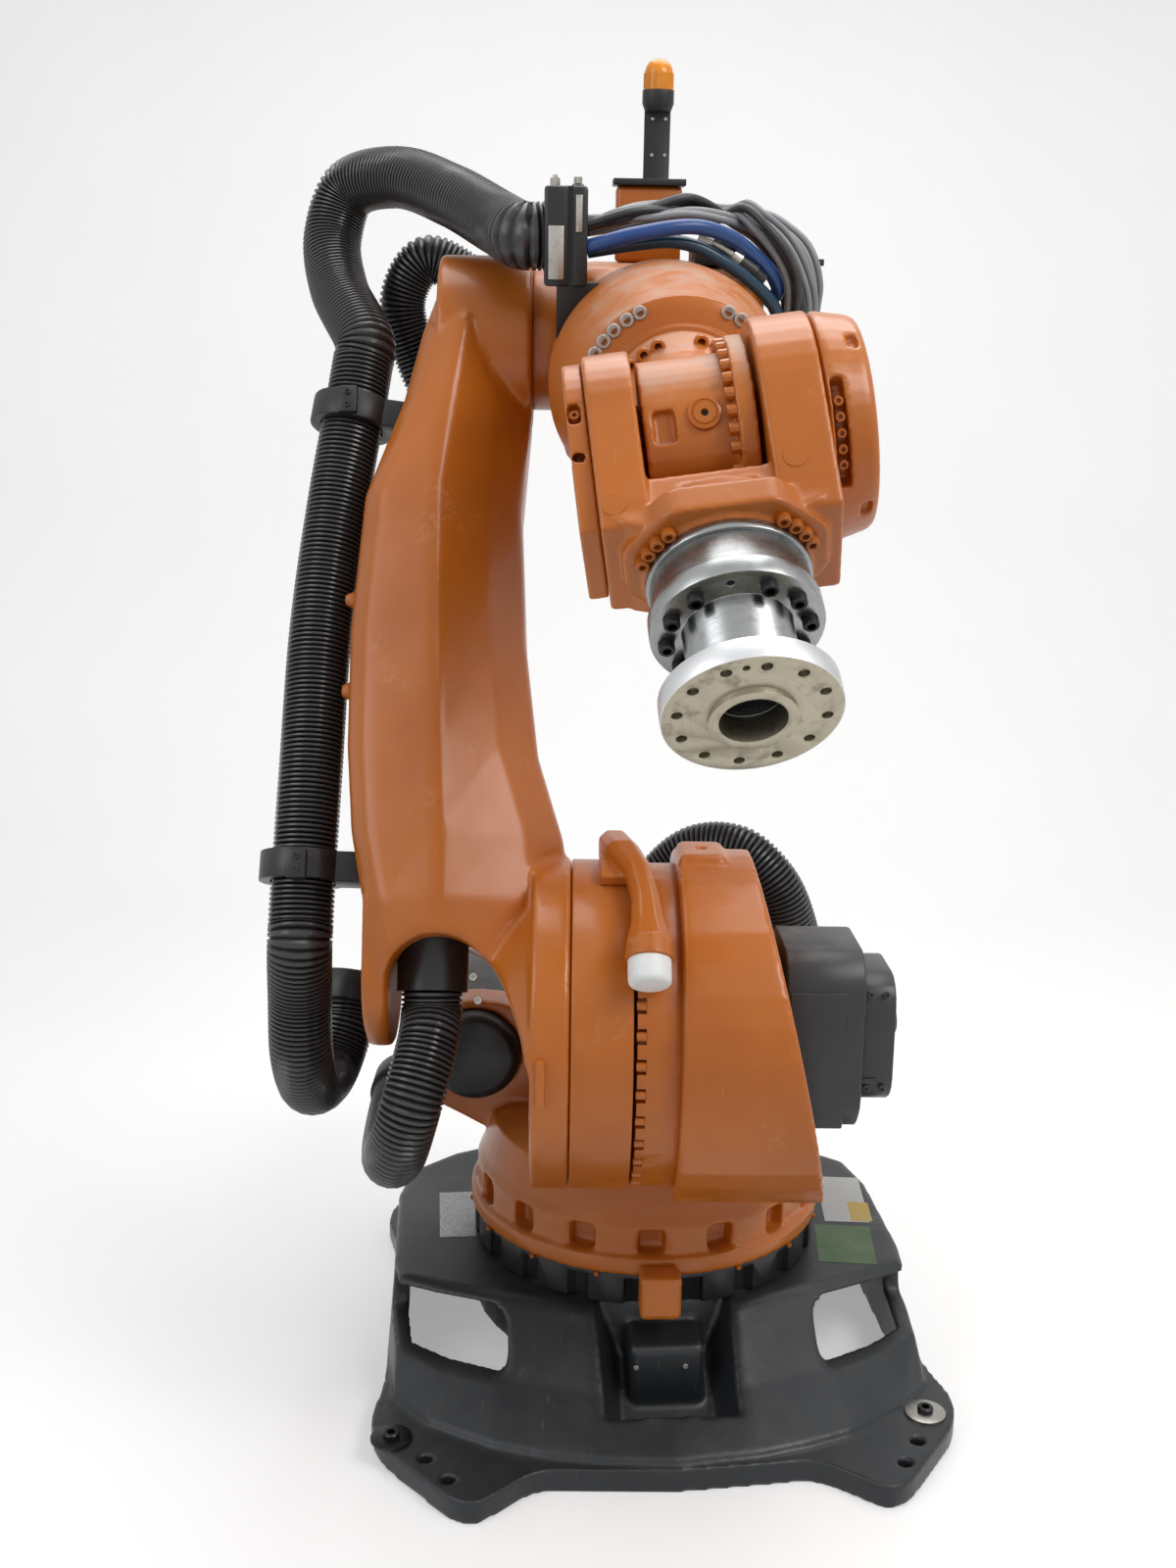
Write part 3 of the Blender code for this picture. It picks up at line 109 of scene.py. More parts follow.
def new_group(name, inputs, outputs):
    """A shader node group with float inputs: the group, its input node and its output node."""
    group = bpy.data.node_groups.new(name, "ShaderNodeTree")
    for label, value in inputs.items():
        socket = group.interface.new_socket(name=label, in_out="INPUT", socket_type="NodeSocketFloat")
        socket.default_value = value
    for label in outputs:
        group.interface.new_socket(name=label, in_out="OUTPUT", socket_type="NodeSocketFloat")
    return group, add_node(group, "NodeGroupInput"), add_node(group, "NodeGroupOutput")


def object_coords(tree):
    return add_node(tree, "ShaderNodeTexCoord").outputs["Object"]


def noise_node(tree, coords, scale, detail=2.0, rough=0.5):
    noise = add_node(tree, "ShaderNodeTexNoise", {"Vector": coords}, Detail=detail, Roughness=rough)
    feed(tree, noise.inputs["Scale"], scale)
    return noise.outputs["Fac"]


def ramp_node(tree, value, low, high, to_low=0.0, to_high=1.0):
    """Carry a value from one range to another, with soft ends."""
    ramp = add_node(tree, "ShaderNodeMapRange", {"Value": value}, interpolation_type="SMOOTHSTEP")
    for label, number in zip(("From Min", "From Max", "To Min", "To Max"), (low, high, to_low, to_high)):
        ramp.inputs[label].default_value = number
    return ramp.outputs["Result"]


def patches(tree, coords, scale, detail, rough, low, high):
    """A mask of soft-edged patches: the noise between low and high, spread over 0 to 1."""
    return ramp_node(tree, noise_node(tree, coords, scale, detail, rough), low, high)


def maths_node(tree, operation, first, second):
    node = add_node(tree, "ShaderNodeMath", operation=operation)
    feed(tree, node.inputs[0], first)
    feed(tree, node.inputs[1], second)
    return node.outputs["Value"]


def product(tree, first, *others):
    """Masks and numbers multiplied in turn."""
    for other in others:
        first = maths_node(tree, "MULTIPLY", first, other)
    return first


def mix_colour(tree, mask, first, second):
    """Blend from one colour to another by a mask. Each colour is a value or a socket."""
    node = add_node(tree, "ShaderNodeMix", {"Factor": mask}, data_type="RGBA")
    for label, item in (("A", first), ("B", second)):
        feed(tree, [s for s in node.inputs if s.name == label and s.type == "RGBA"][0], item)
    return [s for s in node.outputs if s.type == "RGBA"][0]


print("node helpers ready")

# %% Group: the tone and the fine skin of a painted casting
casting_skin, skin_in, skin_out = new_group("casting_skin", {"Grain": 420.0}, ("Tone", "Height"))
skin_spot = object_coords(casting_skin)
casting_skin.links.new(patches(casting_skin, skin_spot, 3.2, 3.0, 0.55, 0.32, 0.68), skin_out.inputs["Tone"])
fine_skin = noise_node(casting_skin, skin_spot, skin_in.outputs["Grain"])
wavy_skin = noise_node(casting_skin, skin_spot, 38.0)
both_skins = maths_node(casting_skin, "ADD", product(casting_skin, fine_skin, 0.35), wavy_skin)
casting_skin.links.new(both_skins, skin_out.inputs["Height"])
print("group casting_skin:", len(casting_skin.nodes), "nodes")

# %% Group: rubs and short scratches from handling
handling_marks, marks_in, marks_out = new_group("handling_marks", {"Amount": 0.5}, ("Rubs", "Scratches"))
marks_spot = object_coords(handling_marks)
rub_patches = patches(handling_marks, marks_spot, 7.0, 4.0, 0.62, 0.6, 0.74)
rub_grain = patches(handling_marks, marks_spot, 90.0, 3.0, 0.6, 0.42, 0.62)
rubs = product(handling_marks, rub_patches, rub_grain, marks_in.outputs["Amount"])
handling_marks.links.new(rubs, marks_out.inputs["Rubs"])
scratch_spot = add_node(handling_marks, "ShaderNodeMapping", {"Vector": marks_spot}, Rotation=(0.5, 0.35, 0.8),
                        Scale=(5.0, 60.0, 5.0))
scratch_lines = patches(handling_marks, scratch_spot.outputs["Vector"], 4.0, 2.0, 0.5, 0.7, 0.735)
scratch_zone = patches(handling_marks, marks_spot, 5.0, 2.0, 0.5, 0.5, 0.62)
scratches = product(handling_marks, scratch_lines, scratch_zone, marks_in.outputs["Amount"])
handling_marks.links.new(scratches, marks_out.inputs["Scratches"])
print("group handling_marks:", len(handling_marks.nodes), "nodes")

# %% Group: dust that settles on what faces up
settled_dust, dust_in, dust_out = new_group("settled_dust", {"Amount": 0.4}, ("Mask",))
dust_coords = add_node(settled_dust, "ShaderNodeTexCoord")
facing_up = add_node(settled_dust, "ShaderNodeSeparateXYZ", {"Vector": dust_coords.outputs["Normal"]}).outputs["Z"]
dust_patches = patches(settled_dust, dust_coords.outputs["Object"], 14.0, 5.0, 0.65, 0.35, 0.75)
dust = product(settled_dust, ramp_node(settled_dust, facing_up, 0.35, 0.95), dust_patches, dust_in.outputs["Amount"])
settled_dust.links.new(dust, dust_out.inputs["Mask"])
print("group settled_dust:", len(settled_dust.nodes), "nodes")

# %% [markdown]
# ## Finishes
# The orange parts carry a thick, slightly uneven coat that shines softly and is rubbed pale here and
# there. The base is dark grey paint on rough iron, dusty and scratched. Both use one recipe with other
# numbers, and so do the blacks.

# %% Recipe for painted and moulded finishes
DUST_COLOUR = (0.42, 0.38, 0.33)


def new_finish(name):
    """A new material, its node tree and its Principled shader."""
    finish = bpy.data.materials.new(name)
    finish.use_nodes = True
    return finish, finish.node_tree, finish.node_tree.nodes["Principled BSDF"]


def coated(name, colour, deep, rubbed, rough, marks, dust, grain=420.0, bump=0.1, coat=0.0):
    """Paint or moulded plastic: a drifting tone, rubs, scratches, dust and a fine uneven skin."""
    finish, tree, shader = new_finish(name)
    skin = add_node(tree, "ShaderNodeGroup", node_tree=casting_skin, Grain=grain)
    wear = add_node(tree, "ShaderNodeGroup", node_tree=handling_marks, Amount=marks)
    dirt = add_node(tree, "ShaderNodeGroup", node_tree=settled_dust, Amount=dust)
    body = mix_colour(tree, skin.outputs["Tone"], colour, deep)
    body = mix_colour(tree, wear.outputs["Rubs"], body, rubbed)
    body = mix_colour(tree, wear.outputs["Scratches"], body, rubbed)
    # Dust colour on upward faces. Where the amount is high, as on the forearm, this pale colour is also a painted
    # highlight.
    body = mix_colour(tree, dirt.outputs["Mask"], body, DUST_COLOUR)
    tree.links.new(body, shader.inputs["Base Color"])
    gloss = ramp_node(tree, skin.outputs["Tone"], 0.0, 1.0, *rough)
    gloss = maths_node(tree, "ADD", gloss, product(tree, dirt.outputs["Mask"], 0.4))
    tree.links.new(gloss, shader.inputs["Roughness"])
    relief = add_node(tree, "ShaderNodeBump", {"Height": skin.outputs["Height"]}, Strength=bump, Distance=0.002)
    tree.links.new(relief.outputs["Normal"], shader.inputs["Normal"])
    shader.inputs["Coat Weight"].default_value = coat
    shader.inputs["Coat Roughness"].default_value = 0.12
    shader.inputs["Specular IOR Level"].default_value = 0.42
    return finish


print("recipe ready, dust colour", DUST_COLOUR)

# %% Painted and moulded finishes
# Each row: name, colour, deep tone, rubbed tone, roughness range, marks, dust, grain, bump, coat.
COATS = (
    ("orange_paint", (0.51, 0.138, 0.009), (0.42, 0.106, 0.006), (0.66, 0.34, 0.15), (0.3, 0.4), 0.22, 0.08,
     380, 0.1, 0.15),
    # The forearm's orange is pale on its upward faces: partly dust and partly a painted highlight of the lamps above.
    ("orange_paint_dust_and_sheen", (0.54, 0.158, 0.016), (0.46, 0.122, 0.011), (0.66, 0.36, 0.18), (0.34, 0.45), 0.3, 0.62,
     380, 0.12, 0.08),
    ("dark_iron_paint", (0.018, 0.022, 0.026), (0.013, 0.016, 0.019), (0.13, 0.13, 0.13), (0.33, 0.43), 0.35, 0.03,
     300, 0.22),
    ("black_plastic", (0.013, 0.013, 0.014), (0.009, 0.009, 0.01), (0.08, 0.08, 0.08), (0.34, 0.48), 0.3, 0.12,
     600, 0.15),
    ("motor_black", (0.032, 0.034, 0.038), (0.02, 0.022, 0.025), (0.12, 0.12, 0.12), (0.36, 0.48), 0.35, 0.14,
     500, 0.18),
    ("hose_rubber", (0.056, 0.058, 0.061), (0.038, 0.04, 0.042), (0.12, 0.12, 0.12), (0.22, 0.32), 0.2, 0.1,
     700, 0.03),
    ("pale_nylon", (0.88, 0.91, 0.91), (0.82, 0.85, 0.85), (0.64, 0.61, 0.54), (0.38, 0.48), 0.4, 0.05, 300, 0.08),
    ("blue_hose_skin", (0.018, 0.07, 0.26), (0.012, 0.045, 0.17), (0.1, 0.16, 0.4), (0.26, 0.36), 0.25, 0.1,
     500, 0.04),
    ("teal_hose_skin", (0.01, 0.045, 0.085), (0.008, 0.03, 0.06), (0.1, 0.14, 0.18), (0.26, 0.36), 0.25, 0.1,
     500, 0.04),
    ("grey_cable_skin", (0.29, 0.3, 0.31), (0.17, 0.18, 0.19), (0.32, 0.32, 0.32), (0.34, 0.46), 0.3, 0.12,
     500, 0.05),
    ("dark_cable_skin", (0.035, 0.038, 0.04), (0.022, 0.024, 0.026), (0.15, 0.15, 0.15), (0.34, 0.46), 0.3, 0.15,
     500, 0.05),
    # Near black for the insides of holes: painted shade.
    ("painted_hole_shade", (0.006, 0.006, 0.006), (0.004, 0.004, 0.004), (0.01, 0.01, 0.01), (0.6, 0.7), 0.0, 0.0),
    ("pale_label", (0.5, 0.51, 0.5), (0.4, 0.41, 0.41), (0.3, 0.3, 0.28), (0.34, 0.44), 0.5, 0.1, 200, 0.03),
    ("yellow_label", (0.5, 0.36, 0.08), (0.42, 0.3, 0.06), (0.45, 0.4, 0.28), (0.36, 0.46), 0.5, 0.1, 200, 0.03),
    ("green_tape", (0.085, 0.15, 0.07), (0.06, 0.115, 0.05), (0.2, 0.24, 0.17), (0.5, 0.6), 0.5, 0.2,
     150, 0.1),
)
(orange_paint, orange_dust_and_sheen, dark_paint, black_plastic, motor_black, hose_rubber, pale_nylon, blue_hose_skin,
 teal_hose_skin, grey_cable_skin, dark_cable_skin, hole_shade_paint, pale_label, yellow_label, green_tape) = (
    coated(*row) for row in COATS)
print("coated finishes:", len(COATS))

# %% Painted shade in the grooves of the hose rubber, by the hoses' own crest attribute
hose_tree = hose_rubber.node_tree
hose_shader = hose_tree.nodes["Principled BSDF"]
hose_colour = hose_shader.inputs["Base Color"].links[0].from_socket
crest = add_node(hose_tree, "ShaderNodeAttribute", attribute_name="crest").outputs["Fac"]
# Near black in the groove rings: painted shade in the hollows between the ribs.
grooves_in_painted_shade = mix_colour(hose_tree, crest, (0.0025, 0.0025, 0.0028), hose_colour)
hose_tree.links.new(grooves_in_painted_shade, hose_shader.inputs["Base Color"])
print("hose rubber:", len(hose_tree.nodes), "nodes")

# %% [markdown]
# ### Turned steel
# The adapter was turned on a lathe, so fine rings run round its axis. Stretched noise that changes fast
# along the axis and outwards, but not round it, gives those rings; the distance from the axis comes
# from the object coordinates once they stand on the tool's own frame.

# %% Steel that shows its turning marks
STAIN_SHARES = (0.3, 0.27, 0.22)
BRIGHT_RIM = (0.62, 0.63, 0.64)


def steel(name, colour, rough, axis_frame=None, marks=0.3, stains=0.3, rim=None):
    """Bare steel. An axis frame gives it turning rings, and a rim radius a bright edge."""
    finish, tree, shader = new_finish(name)
    shader.inputs["Metallic"].default_value = 1.0
    spot = object_coords(tree)
    if axis_frame is None:
        lines = noise_node(tree, spot, 260.0)
    else:
        back = axis_frame.inverted()
        stand = add_node(tree, "ShaderNodeMapping", {"Vector": spot}, Location=back.translation,
                         Rotation=back.to_euler())
        parts = add_node(tree, "ShaderNodeSeparateXYZ", {"Vector": stand.outputs["Vector"]}).outputs
        square = maths_node(tree, "ADD", *(product(tree, parts[axis], parts[axis]) for axis in "YZ"))
        radius = maths_node(tree, "SQRT", square, 0.0)
        rings = add_node(tree, "ShaderNodeCombineXYZ", {"X": parts["X"], "Y": radius})
        lines = noise_node(tree, rings.outputs["Vector"], 1300.0, 1.0)
    wear = add_node(tree, "ShaderNodeGroup", node_tree=handling_marks, Amount=marks)
    stain = patches(tree, spot, 45.0, 4.0, 0.6, 0.5, 0.72)
    stain_colour = tuple(share * c for share, c in zip(STAIN_SHARES, colour))
    tone = mix_colour(tree, ramp_node(tree, lines, 0.3, 0.7), colour, tuple(0.86 * c for c in colour))
    tone = mix_colour(tree, product(tree, stain, stains), tone, stain_colour)
    tone = mix_colour(tree, wear.outputs["Rubs"], tone, (0.3, 0.26, 0.22))
    if rim:
        tone = mix_colour(tree, ramp_node(tree, radius, rim - 0.0016, rim - 0.0006), tone, BRIGHT_RIM)
    tree.links.new(tone, shader.inputs["Base Color"])
    tree.links.new(ramp_node(tree, lines, 0.25, 0.75, *rough), shader.inputs["Roughness"])
    relief = add_node(tree, "ShaderNodeBump", {"Height": lines}, Strength=0.08, Distance=0.0005)
    tree.links.new(relief.outputs["Normal"], shader.inputs["Normal"])
    return finish


PLATE_RADIUS = 0.099
turned_steel = steel("turned_steel", (0.34, 0.35, 0.35), (0.24, 0.34), TOOL, 0.15)
plate_steel = steel("plate_steel", (0.44, 0.4, 0.31), (0.34, 0.46), TOOL, 0.6, 0.6, PLATE_RADIUS)
bolt_steel = steel("bolt_steel", (0.42, 0.4, 0.37), (0.28, 0.42))
black_steel = steel("black_bolt_steel", (0.045, 0.045, 0.047), (0.32, 0.45))
bare_metal = steel("bare_plate", (0.3, 0.3, 0.3), (0.22, 0.34))
print("steel finishes:", 5)

# %% [markdown]
# ### The beacon's lens
# The lens is clear amber plastic with ribs inside. Some light passes through it, so it glows a little
# where the light is behind it.

# %% Amber lens
amber_lens, lens_tree, lens_shader = new_finish("amber_lens")
lens_noise = noise_node(lens_tree, object_coords(lens_tree), 60.0)
lens_tone = mix_colour(lens_tree, lens_noise, (0.95, 0.36, 0.01), (0.8, 0.26, 0.006))
lens_tree.links.new(lens_tone, lens_shader.inputs["Base Color"])
lens_shader.inputs["Roughness"].default_value = 0.16
lens_shader.inputs["Transmission Weight"].default_value = 0.15
lens_shader.inputs["IOR"].default_value = 1.46
print("lens finish:", amber_lens.name)

# %% [markdown]
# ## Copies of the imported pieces
# Two treatments cover all the metal. A sand casting has no sharp edge anywhere: a copy is turned into
# small voxels, smoothed and thinned out again. A machined or moulded piece keeps its edges, so its copy
# gets a narrow bevel that catches the light.

# %% Helpers that make pieces


def new_object(name, data):
    """A new object at the origin, linked into the scene."""
    thing = bpy.data.objects.new(name, data)
    bpy.context.scene.collection.objects.link(thing)
    return thing


def piece_from(name, bm, finish, body=None, replaced=(), sharp=38):
    """Finish a bmesh as a piece at the origin with one material, and let it ride on its body."""
    mesh = bpy.data.meshes.new(name)
    bm.to_mesh(mesh)
    bm.free()
    mesh.materials.append(finish)
    mesh.shade_smooth()
    mesh.set_sharp_from_angle(angle=radians(sharp))
    piece = new_object(name, mesh)
    if body:
        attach(piece, body)
    if replaced:
        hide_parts(*replaced)
    return piece


def merged(node):
    """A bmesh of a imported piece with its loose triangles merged."""
    bm = bmesh.new()
    bm.from_mesh(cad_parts[node].data)
    bmesh.ops.remove_doubles(bm, verts=bm.verts, dist=0.00001)
    return bm


def triangles_of(piece):
    return sum(len(face.vertices) - 2 for face in piece.data.polygons)


def carve(piece, tools):
    """Cut the tool shapes out of a piece with one boolean step each."""
    holders = []
    for k, tool in enumerate(tools):
        mesh = bpy.data.meshes.new("tool")
        tool.to_mesh(mesh)
        tool.free()
        holders.append(new_object("tool_%d" % k, mesh))
        step = piece.modifiers.new("cut_%d" % k, "BOOLEAN")
        step.operation = "DIFFERENCE"
        step.solver = "EXACT"
        step.object = holders[-1]
    return holders


def settle(piece, holders, sharp=None):
    """Turn a piece's modifiers into its mesh, and throw its cutting tools away."""
    graph = bpy.context.evaluated_depsgraph_get()
    source = piece.evaluated_get(graph)
    mesh = bpy.data.meshes.new_from_object(source, preserve_all_data_layers=True, depsgraph=graph)
    piece.modifiers.clear()
    piece.data = mesh
    mesh.shade_smooth()
    if sharp:
        mesh.set_sharp_from_angle(angle=radians(sharp))
    for holder in holders:
        bpy.data.objects.remove(holder)
    print(piece.name, triangles_of(piece), "triangles")
    return piece


def cast_copy(node, body, finish, grain, passes, keep, tools=()):
    """A soft-edged copy of a casting: voxels, smoothing, then fewer faces."""
    piece = piece_from(node + "_cast", merged(node), finish, body, (node,))
    holders = carve(piece, tools)
    voxels = piece.modifiers.new("voxels", "REMESH")
    voxels.mode = "VOXEL"
    voxels.voxel_size = grain
    soft = piece.modifiers.new("soft_edges", "SMOOTH")
    soft.factor = 0.5
    soft.iterations = passes
    piece.modifiers.new("fewer_faces", "DECIMATE").ratio = keep
    return settle(piece, holders)


def crisp_copy(node, body, finish, width, tools=(), sharp=38):
    """A copy of a machined or moulded piece with narrow bevels on its edges."""
    bm = merged(node)
    bmesh.ops.dissolve_limit(bm, angle_limit=radians(0.4), verts=bm.verts, edges=bm.edges)
    piece = piece_from(node + "_crisp", bm, finish, body, (node,), sharp)
    holders = carve(piece, tools)
    if width:
        bevel = piece.modifiers.new("edge", "BEVEL")
        bevel.width = width
        bevel.segments = 2
        bevel.limit_method = "ANGLE"
        bevel.angle_limit = radians(sharp)
        bevel.use_clamp_overlap = True
    return settle(piece, holders, sharp)


print("copies: cast and crisp")

# %% Simple tool shapes in a part's frame


def facing(direction, axis="Z"):
    """A rotation that makes an axis look along a direction."""
    return Vector(direction).to_track_quat(axis, "Y").to_matrix().to_4x4()


def bar(place, start, end, radius, sides):
    """A round bar between two points of a frame."""
    start, end = Vector(start), Vector(end)
    stand = Matrix.Translation((start + end) / 2) @ facing(end - start)
    bm = bmesh.new()
    bmesh.ops.create_cone(bm, cap_ends=True, segments=sides, radius1=radius, radius2=radius,
                          depth=(end - start).length, matrix=place @ stand)
    return bm


def block(place, low, high, round_by=0.0):
    """A block between two corners of a frame, its edges rounded."""
    low, high = Vector(low), Vector(high)
    bm = bmesh.new()
    bmesh.ops.create_cube(bm, size=1.0)
    bmesh.ops.scale(bm, vec=high - low, verts=bm.verts)
    bmesh.ops.translate(bm, vec=(low + high) / 2, verts=bm.verts)
    if round_by:
        bmesh.ops.bevel(bm, geom=bm.edges[:], offset=round_by, segments=2, profile=0.5, affect="EDGES", material=-1)
    bmesh.ops.transform(bm, matrix=place, verts=bm.verts)
    return bm


def add_to(bm, other):
    """Join another bmesh into bm and free it."""
    mesh = bpy.data.meshes.new("part")
    other.to_mesh(mesh)
    other.free()
    bm.from_mesh(mesh)
    bpy.data.meshes.remove(mesh)
    return bm


def together(*shapes):
    bm = bmesh.new()
    for item in shapes:
        add_to(bm, item)
    return bm


def polar(x, radius, degrees, y=0.0, z=0.0):
    """A point on a circle about the X axis: degrees run from Y to Z."""
    a = radians(degrees)
    return Vector((x, y + radius * cos(a), z + radius * sin(a)))


def polar_y(y, radius, degrees):
    """A point on a circle about the Y axis: degrees run from X to Z."""
    a = radians(degrees)
    return Vector((radius * cos(a), y, radius * sin(a)))


def grow(bm, ring):
    """Extrude a ring of edges: the new vertices and the new ring."""
    grown = bmesh.ops.extrude_edge_only(bm, edges=ring)["geom"]
    verts = [item for item in grown if isinstance(item, bmesh.types.BMVert)]
    fresh = set(verts)
    return verts, [item for item in grown if isinstance(item, bmesh.types.BMEdge) and fresh.issuperset(item.verts)]


print("tool shapes: bar and block")

# %% [markdown]
# ## The castings
# Base, column, link arm, forearm and hand are sand castings. Their slots and pockets are cut before the
# voxel step, so that their edges come out as soft as the rest.

# %% Base, column, link arm, forearm and wrist
cast_copy("base_frame", "base", dark_paint, 0.0052, 5, 0.42)
cast_copy("rotating_column", "column", orange_paint, 0.005, 7, 0.4)
cast_copy("slewing_stop", "column", orange_paint, 0.0022, 3, 0.6)
cast_copy("link_arm", "link", orange_paint, 0.0055, 14, 0.4)
cast_copy("buffer_horn", "link", orange_paint, 0.0025, 9, 0.5)
# Forearm and neck take the paler orange: partly dust and partly a painted highlight on their upward faces.
cast_copy("forearm_housing", "forearm", orange_dust_and_sheen, 0.005, 8, 0.4)
neck_pocket = block(WRIST @ turn(-24, "Y"), (0.092, -0.062, -0.024), (0.12, -0.036, 0.014), 0.003)
cast_copy("wrist_neck", "wrist", orange_dust_and_sheen, 0.0028, 3, 0.5, [neck_pocket])

# %% [markdown]
# ### The hand
# The right cover shows one long slot with five bolt heads in it, and short slots elsewhere. The left
# cover has three small pockets on its rim.

# %% Hand castings with their slots


def arc_slot(place, inner, outer, near, far, start, end, steps=14):
    """A slot tool that runs round the Y axis between two angles."""
    bm = bmesh.new()
    profile = ((inner, near), (outer, near), (outer, far), (inner, far))
    corners = [bm.verts.new(polar_y(y, radius, start)) for radius, y in profile]
    face = bm.faces.new(corners)
    bmesh.ops.spin(bm, geom=[face, *face.edges, *corners], cent=(0, 0, 0), axis=(0, -1, 0),
                   angle=radians(end - start), steps=steps, use_merge=False)
    bmesh.ops.recalc_face_normals(bm, faces=bm.faces)
    bmesh.ops.transform(bm, matrix=place, verts=bm.verts)
    return bm


right_slots = [arc_slot(HAND, 0.112, 0.16, 0.1395, 0.1545, 12, 68)]
right_slots += [arc_slot(HAND, 0.12, 0.16, 0.168, 0.18, a - 5, a + 5, 3) for a in (90, -6, -50)]
LEFT_POCKETS = (72, 41, 5)
left_slots = [block(HAND @ turn(-a, "Y"), (0.098, -0.158, -0.013), (0.13, -0.143, 0.013), 0.003)
              for a in LEFT_POCKETS]
hand_casting = cast_copy("hand_fork", "hand", orange_paint, 0.0026, 12, 0.5)
cast_copy("hand_cover_left", "hand", orange_paint, 0.0022, 8, 0.5, left_slots)
cast_copy("hand_cover_right", "hand", orange_paint, 0.0024, 8, 0.5, right_slots)

# %% [markdown]
# ## Machined and moulded pieces
# These keep their edges. Rings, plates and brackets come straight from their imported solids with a
# narrow bevel.

# %% Rings, brackets and motors
for body, finish, width, *nodes in (
    ("base", black_plastic, 0.001, "slewing_rim"),
    ("base", dark_paint, 0.001, "connection_panel"),
    ("column", black_plastic, 0.0, "counterbalance_cylinder"),
    ("column", motor_black, 0.0012, "a2_motor", "a2_motor_cover"),
    ("column", black_plastic, 0.0012, "return_clamp"),
    ("link", orange_paint, 0.0025, "link_hub_ring"),
    ("link", black_plastic, 0.0, "link_duct"),
    ("link", black_plastic, 0.002, "link_clamp_lower", "link_clamp_upper"),
    ("forearm", orange_paint, 0.0015, "forearm_front_ring", "elbow_gearbox"),
    ("forearm", motor_black, 0.0015, "a4_motor", "a5_motor", "a6_motor"),
    ("forearm", orange_paint, 0.0, "beacon_plinth"),
    ("forearm", black_plastic, 0.0008, "beacon_bracket", "connector_plate"),
    ("tool", turned_steel, 0.001, "tool_flange"),
):
    for node in nodes:
        crisp_copy(node, body, finish, width)

# %% Hose clamp, split into two jaws
jaw_gap = [block(FOREARM, (0.272, -0.1725, 0.09), (0.3, -0.1635, 0.3)),
           block(FOREARM, (0.13, -0.1725, 0.25), (0.271, -0.1635, 0.3))]
crisp_copy("forearm_hose_clamp", "forearm", black_plastic, 0.0015, jaw_gap)

# %% Gearbox ring with a notch round each bolt
GEAR_BOLTS = 36
gear_places = [SHOULDER @ turn(-360 * (k + 0.5) / GEAR_BOLTS - 0.5, "Y") for k in range(GEAR_BOLTS)]
notches = together(*(block(place, (0.258, -0.06, -0.0125), (0.3, -0.033, 0.0125)) for place in gear_places))
crisp_copy("a2_gearbox", "column", orange_paint, 0.0012, [notches])

# %% [markdown]
# ### The adapter
# Twelve bolts hold the adapter to the flange, and its end plate has twelve through holes and a pin
# hole for the tool. The plate and the adapter stay two turned pieces, cut by round tools.

# %% Adapter and its plate with their holes
PLATE_CIRCLE = 0.0816
ADAPTER_CIRCLE = 0.08


def hole(circle, degrees, near, far, radius, sides):
    """A round tool on a circle about the tool's axis."""
    return bar(TOOL, polar(near, circle, degrees), polar(far, circle, degrees), radius, sides)


plate_holes = [hole(PLATE_CIRCLE, 18.7 + 30 * k, 0.14, 0.2, 0.0064, 16) for k in range(12)]
plate_pin = hole(PLATE_CIRCLE, 93.7, 0.14, 0.2, 0.0042, 12)
adapter_pin = hole(ADAPTER_CIRCLE, 94, 0.05, 0.08, 0.0045, 12)
crisp_copy("tool_adapter", "tool", turned_steel, 0.001, [together(adapter_pin)])
crisp_copy("adapter_plate", "tool", plate_steel, 0.001, [together(*plate_holes, plate_pin)])

# %% [markdown]
# ## Bolts
# One head is modelled once: a low cylinder with a chamfer and a socket. It is then copied to each place
# of a row. A row is one piece, so it can ride on its body and take one finish.

# %% A socket-head bolt and a row of them


def bolt_head(radius, height, sides, socket):
    """A bolt head that stands on the XY plane, with its socket on top."""
    bm = bmesh.new()
    bmesh.ops.create_circle(bm, cap_ends=False, segments=sides, radius=radius)
    ring = bm.edges[:]
    bmesh.ops.edgeloop_fill(bm, edges=ring)
    scale_now, inner = radius, socket * radius
    for rise, size in ((0.86 * height, radius), (0.14 * height, 0.88 * radius), (0.0, inner), (-0.8 * height, inner)):
        verts, ring = grow(bm, ring)
        bmesh.ops.scale(bm, vec=(size / scale_now, size / scale_now, 1.0), verts=verts)
        bmesh.ops.translate(bm, vec=(0, 0, rise), verts=verts)
        scale_now = size
    bmesh.ops.edgeloop_fill(bm, edges=ring)
    bmesh.ops.recalc_face_normals(bm, faces=bm.faces)
    return bm


def on_face(place, point, normal):
    """A matrix that stands a bolt on a point of a frame, looking along the normal."""
    return place @ Matrix.Translation(point) @ facing(normal)


def bolt_row(name, places, radius, height, finish, body, sides=12, socket=0.52):
    """Copies of one head at the places, as one piece."""
    head = bolt_head(radius, height, sides, socket)
    mesh = bpy.data.meshes.new("bolt_head")
    head.to_mesh(mesh)
    head.free()
    bm = bmesh.new()
    for place in places:
        count = len(bm.verts)
        bm.from_mesh(mesh)
        bm.verts.ensure_lookup_table()
        bmesh.ops.transform(bm, matrix=place, verts=bm.verts[count:])
    bpy.data.meshes.remove(mesh)
    piece_from(name, bm, finish, body, sharp=30)
    print(name, len(places), "bolts")


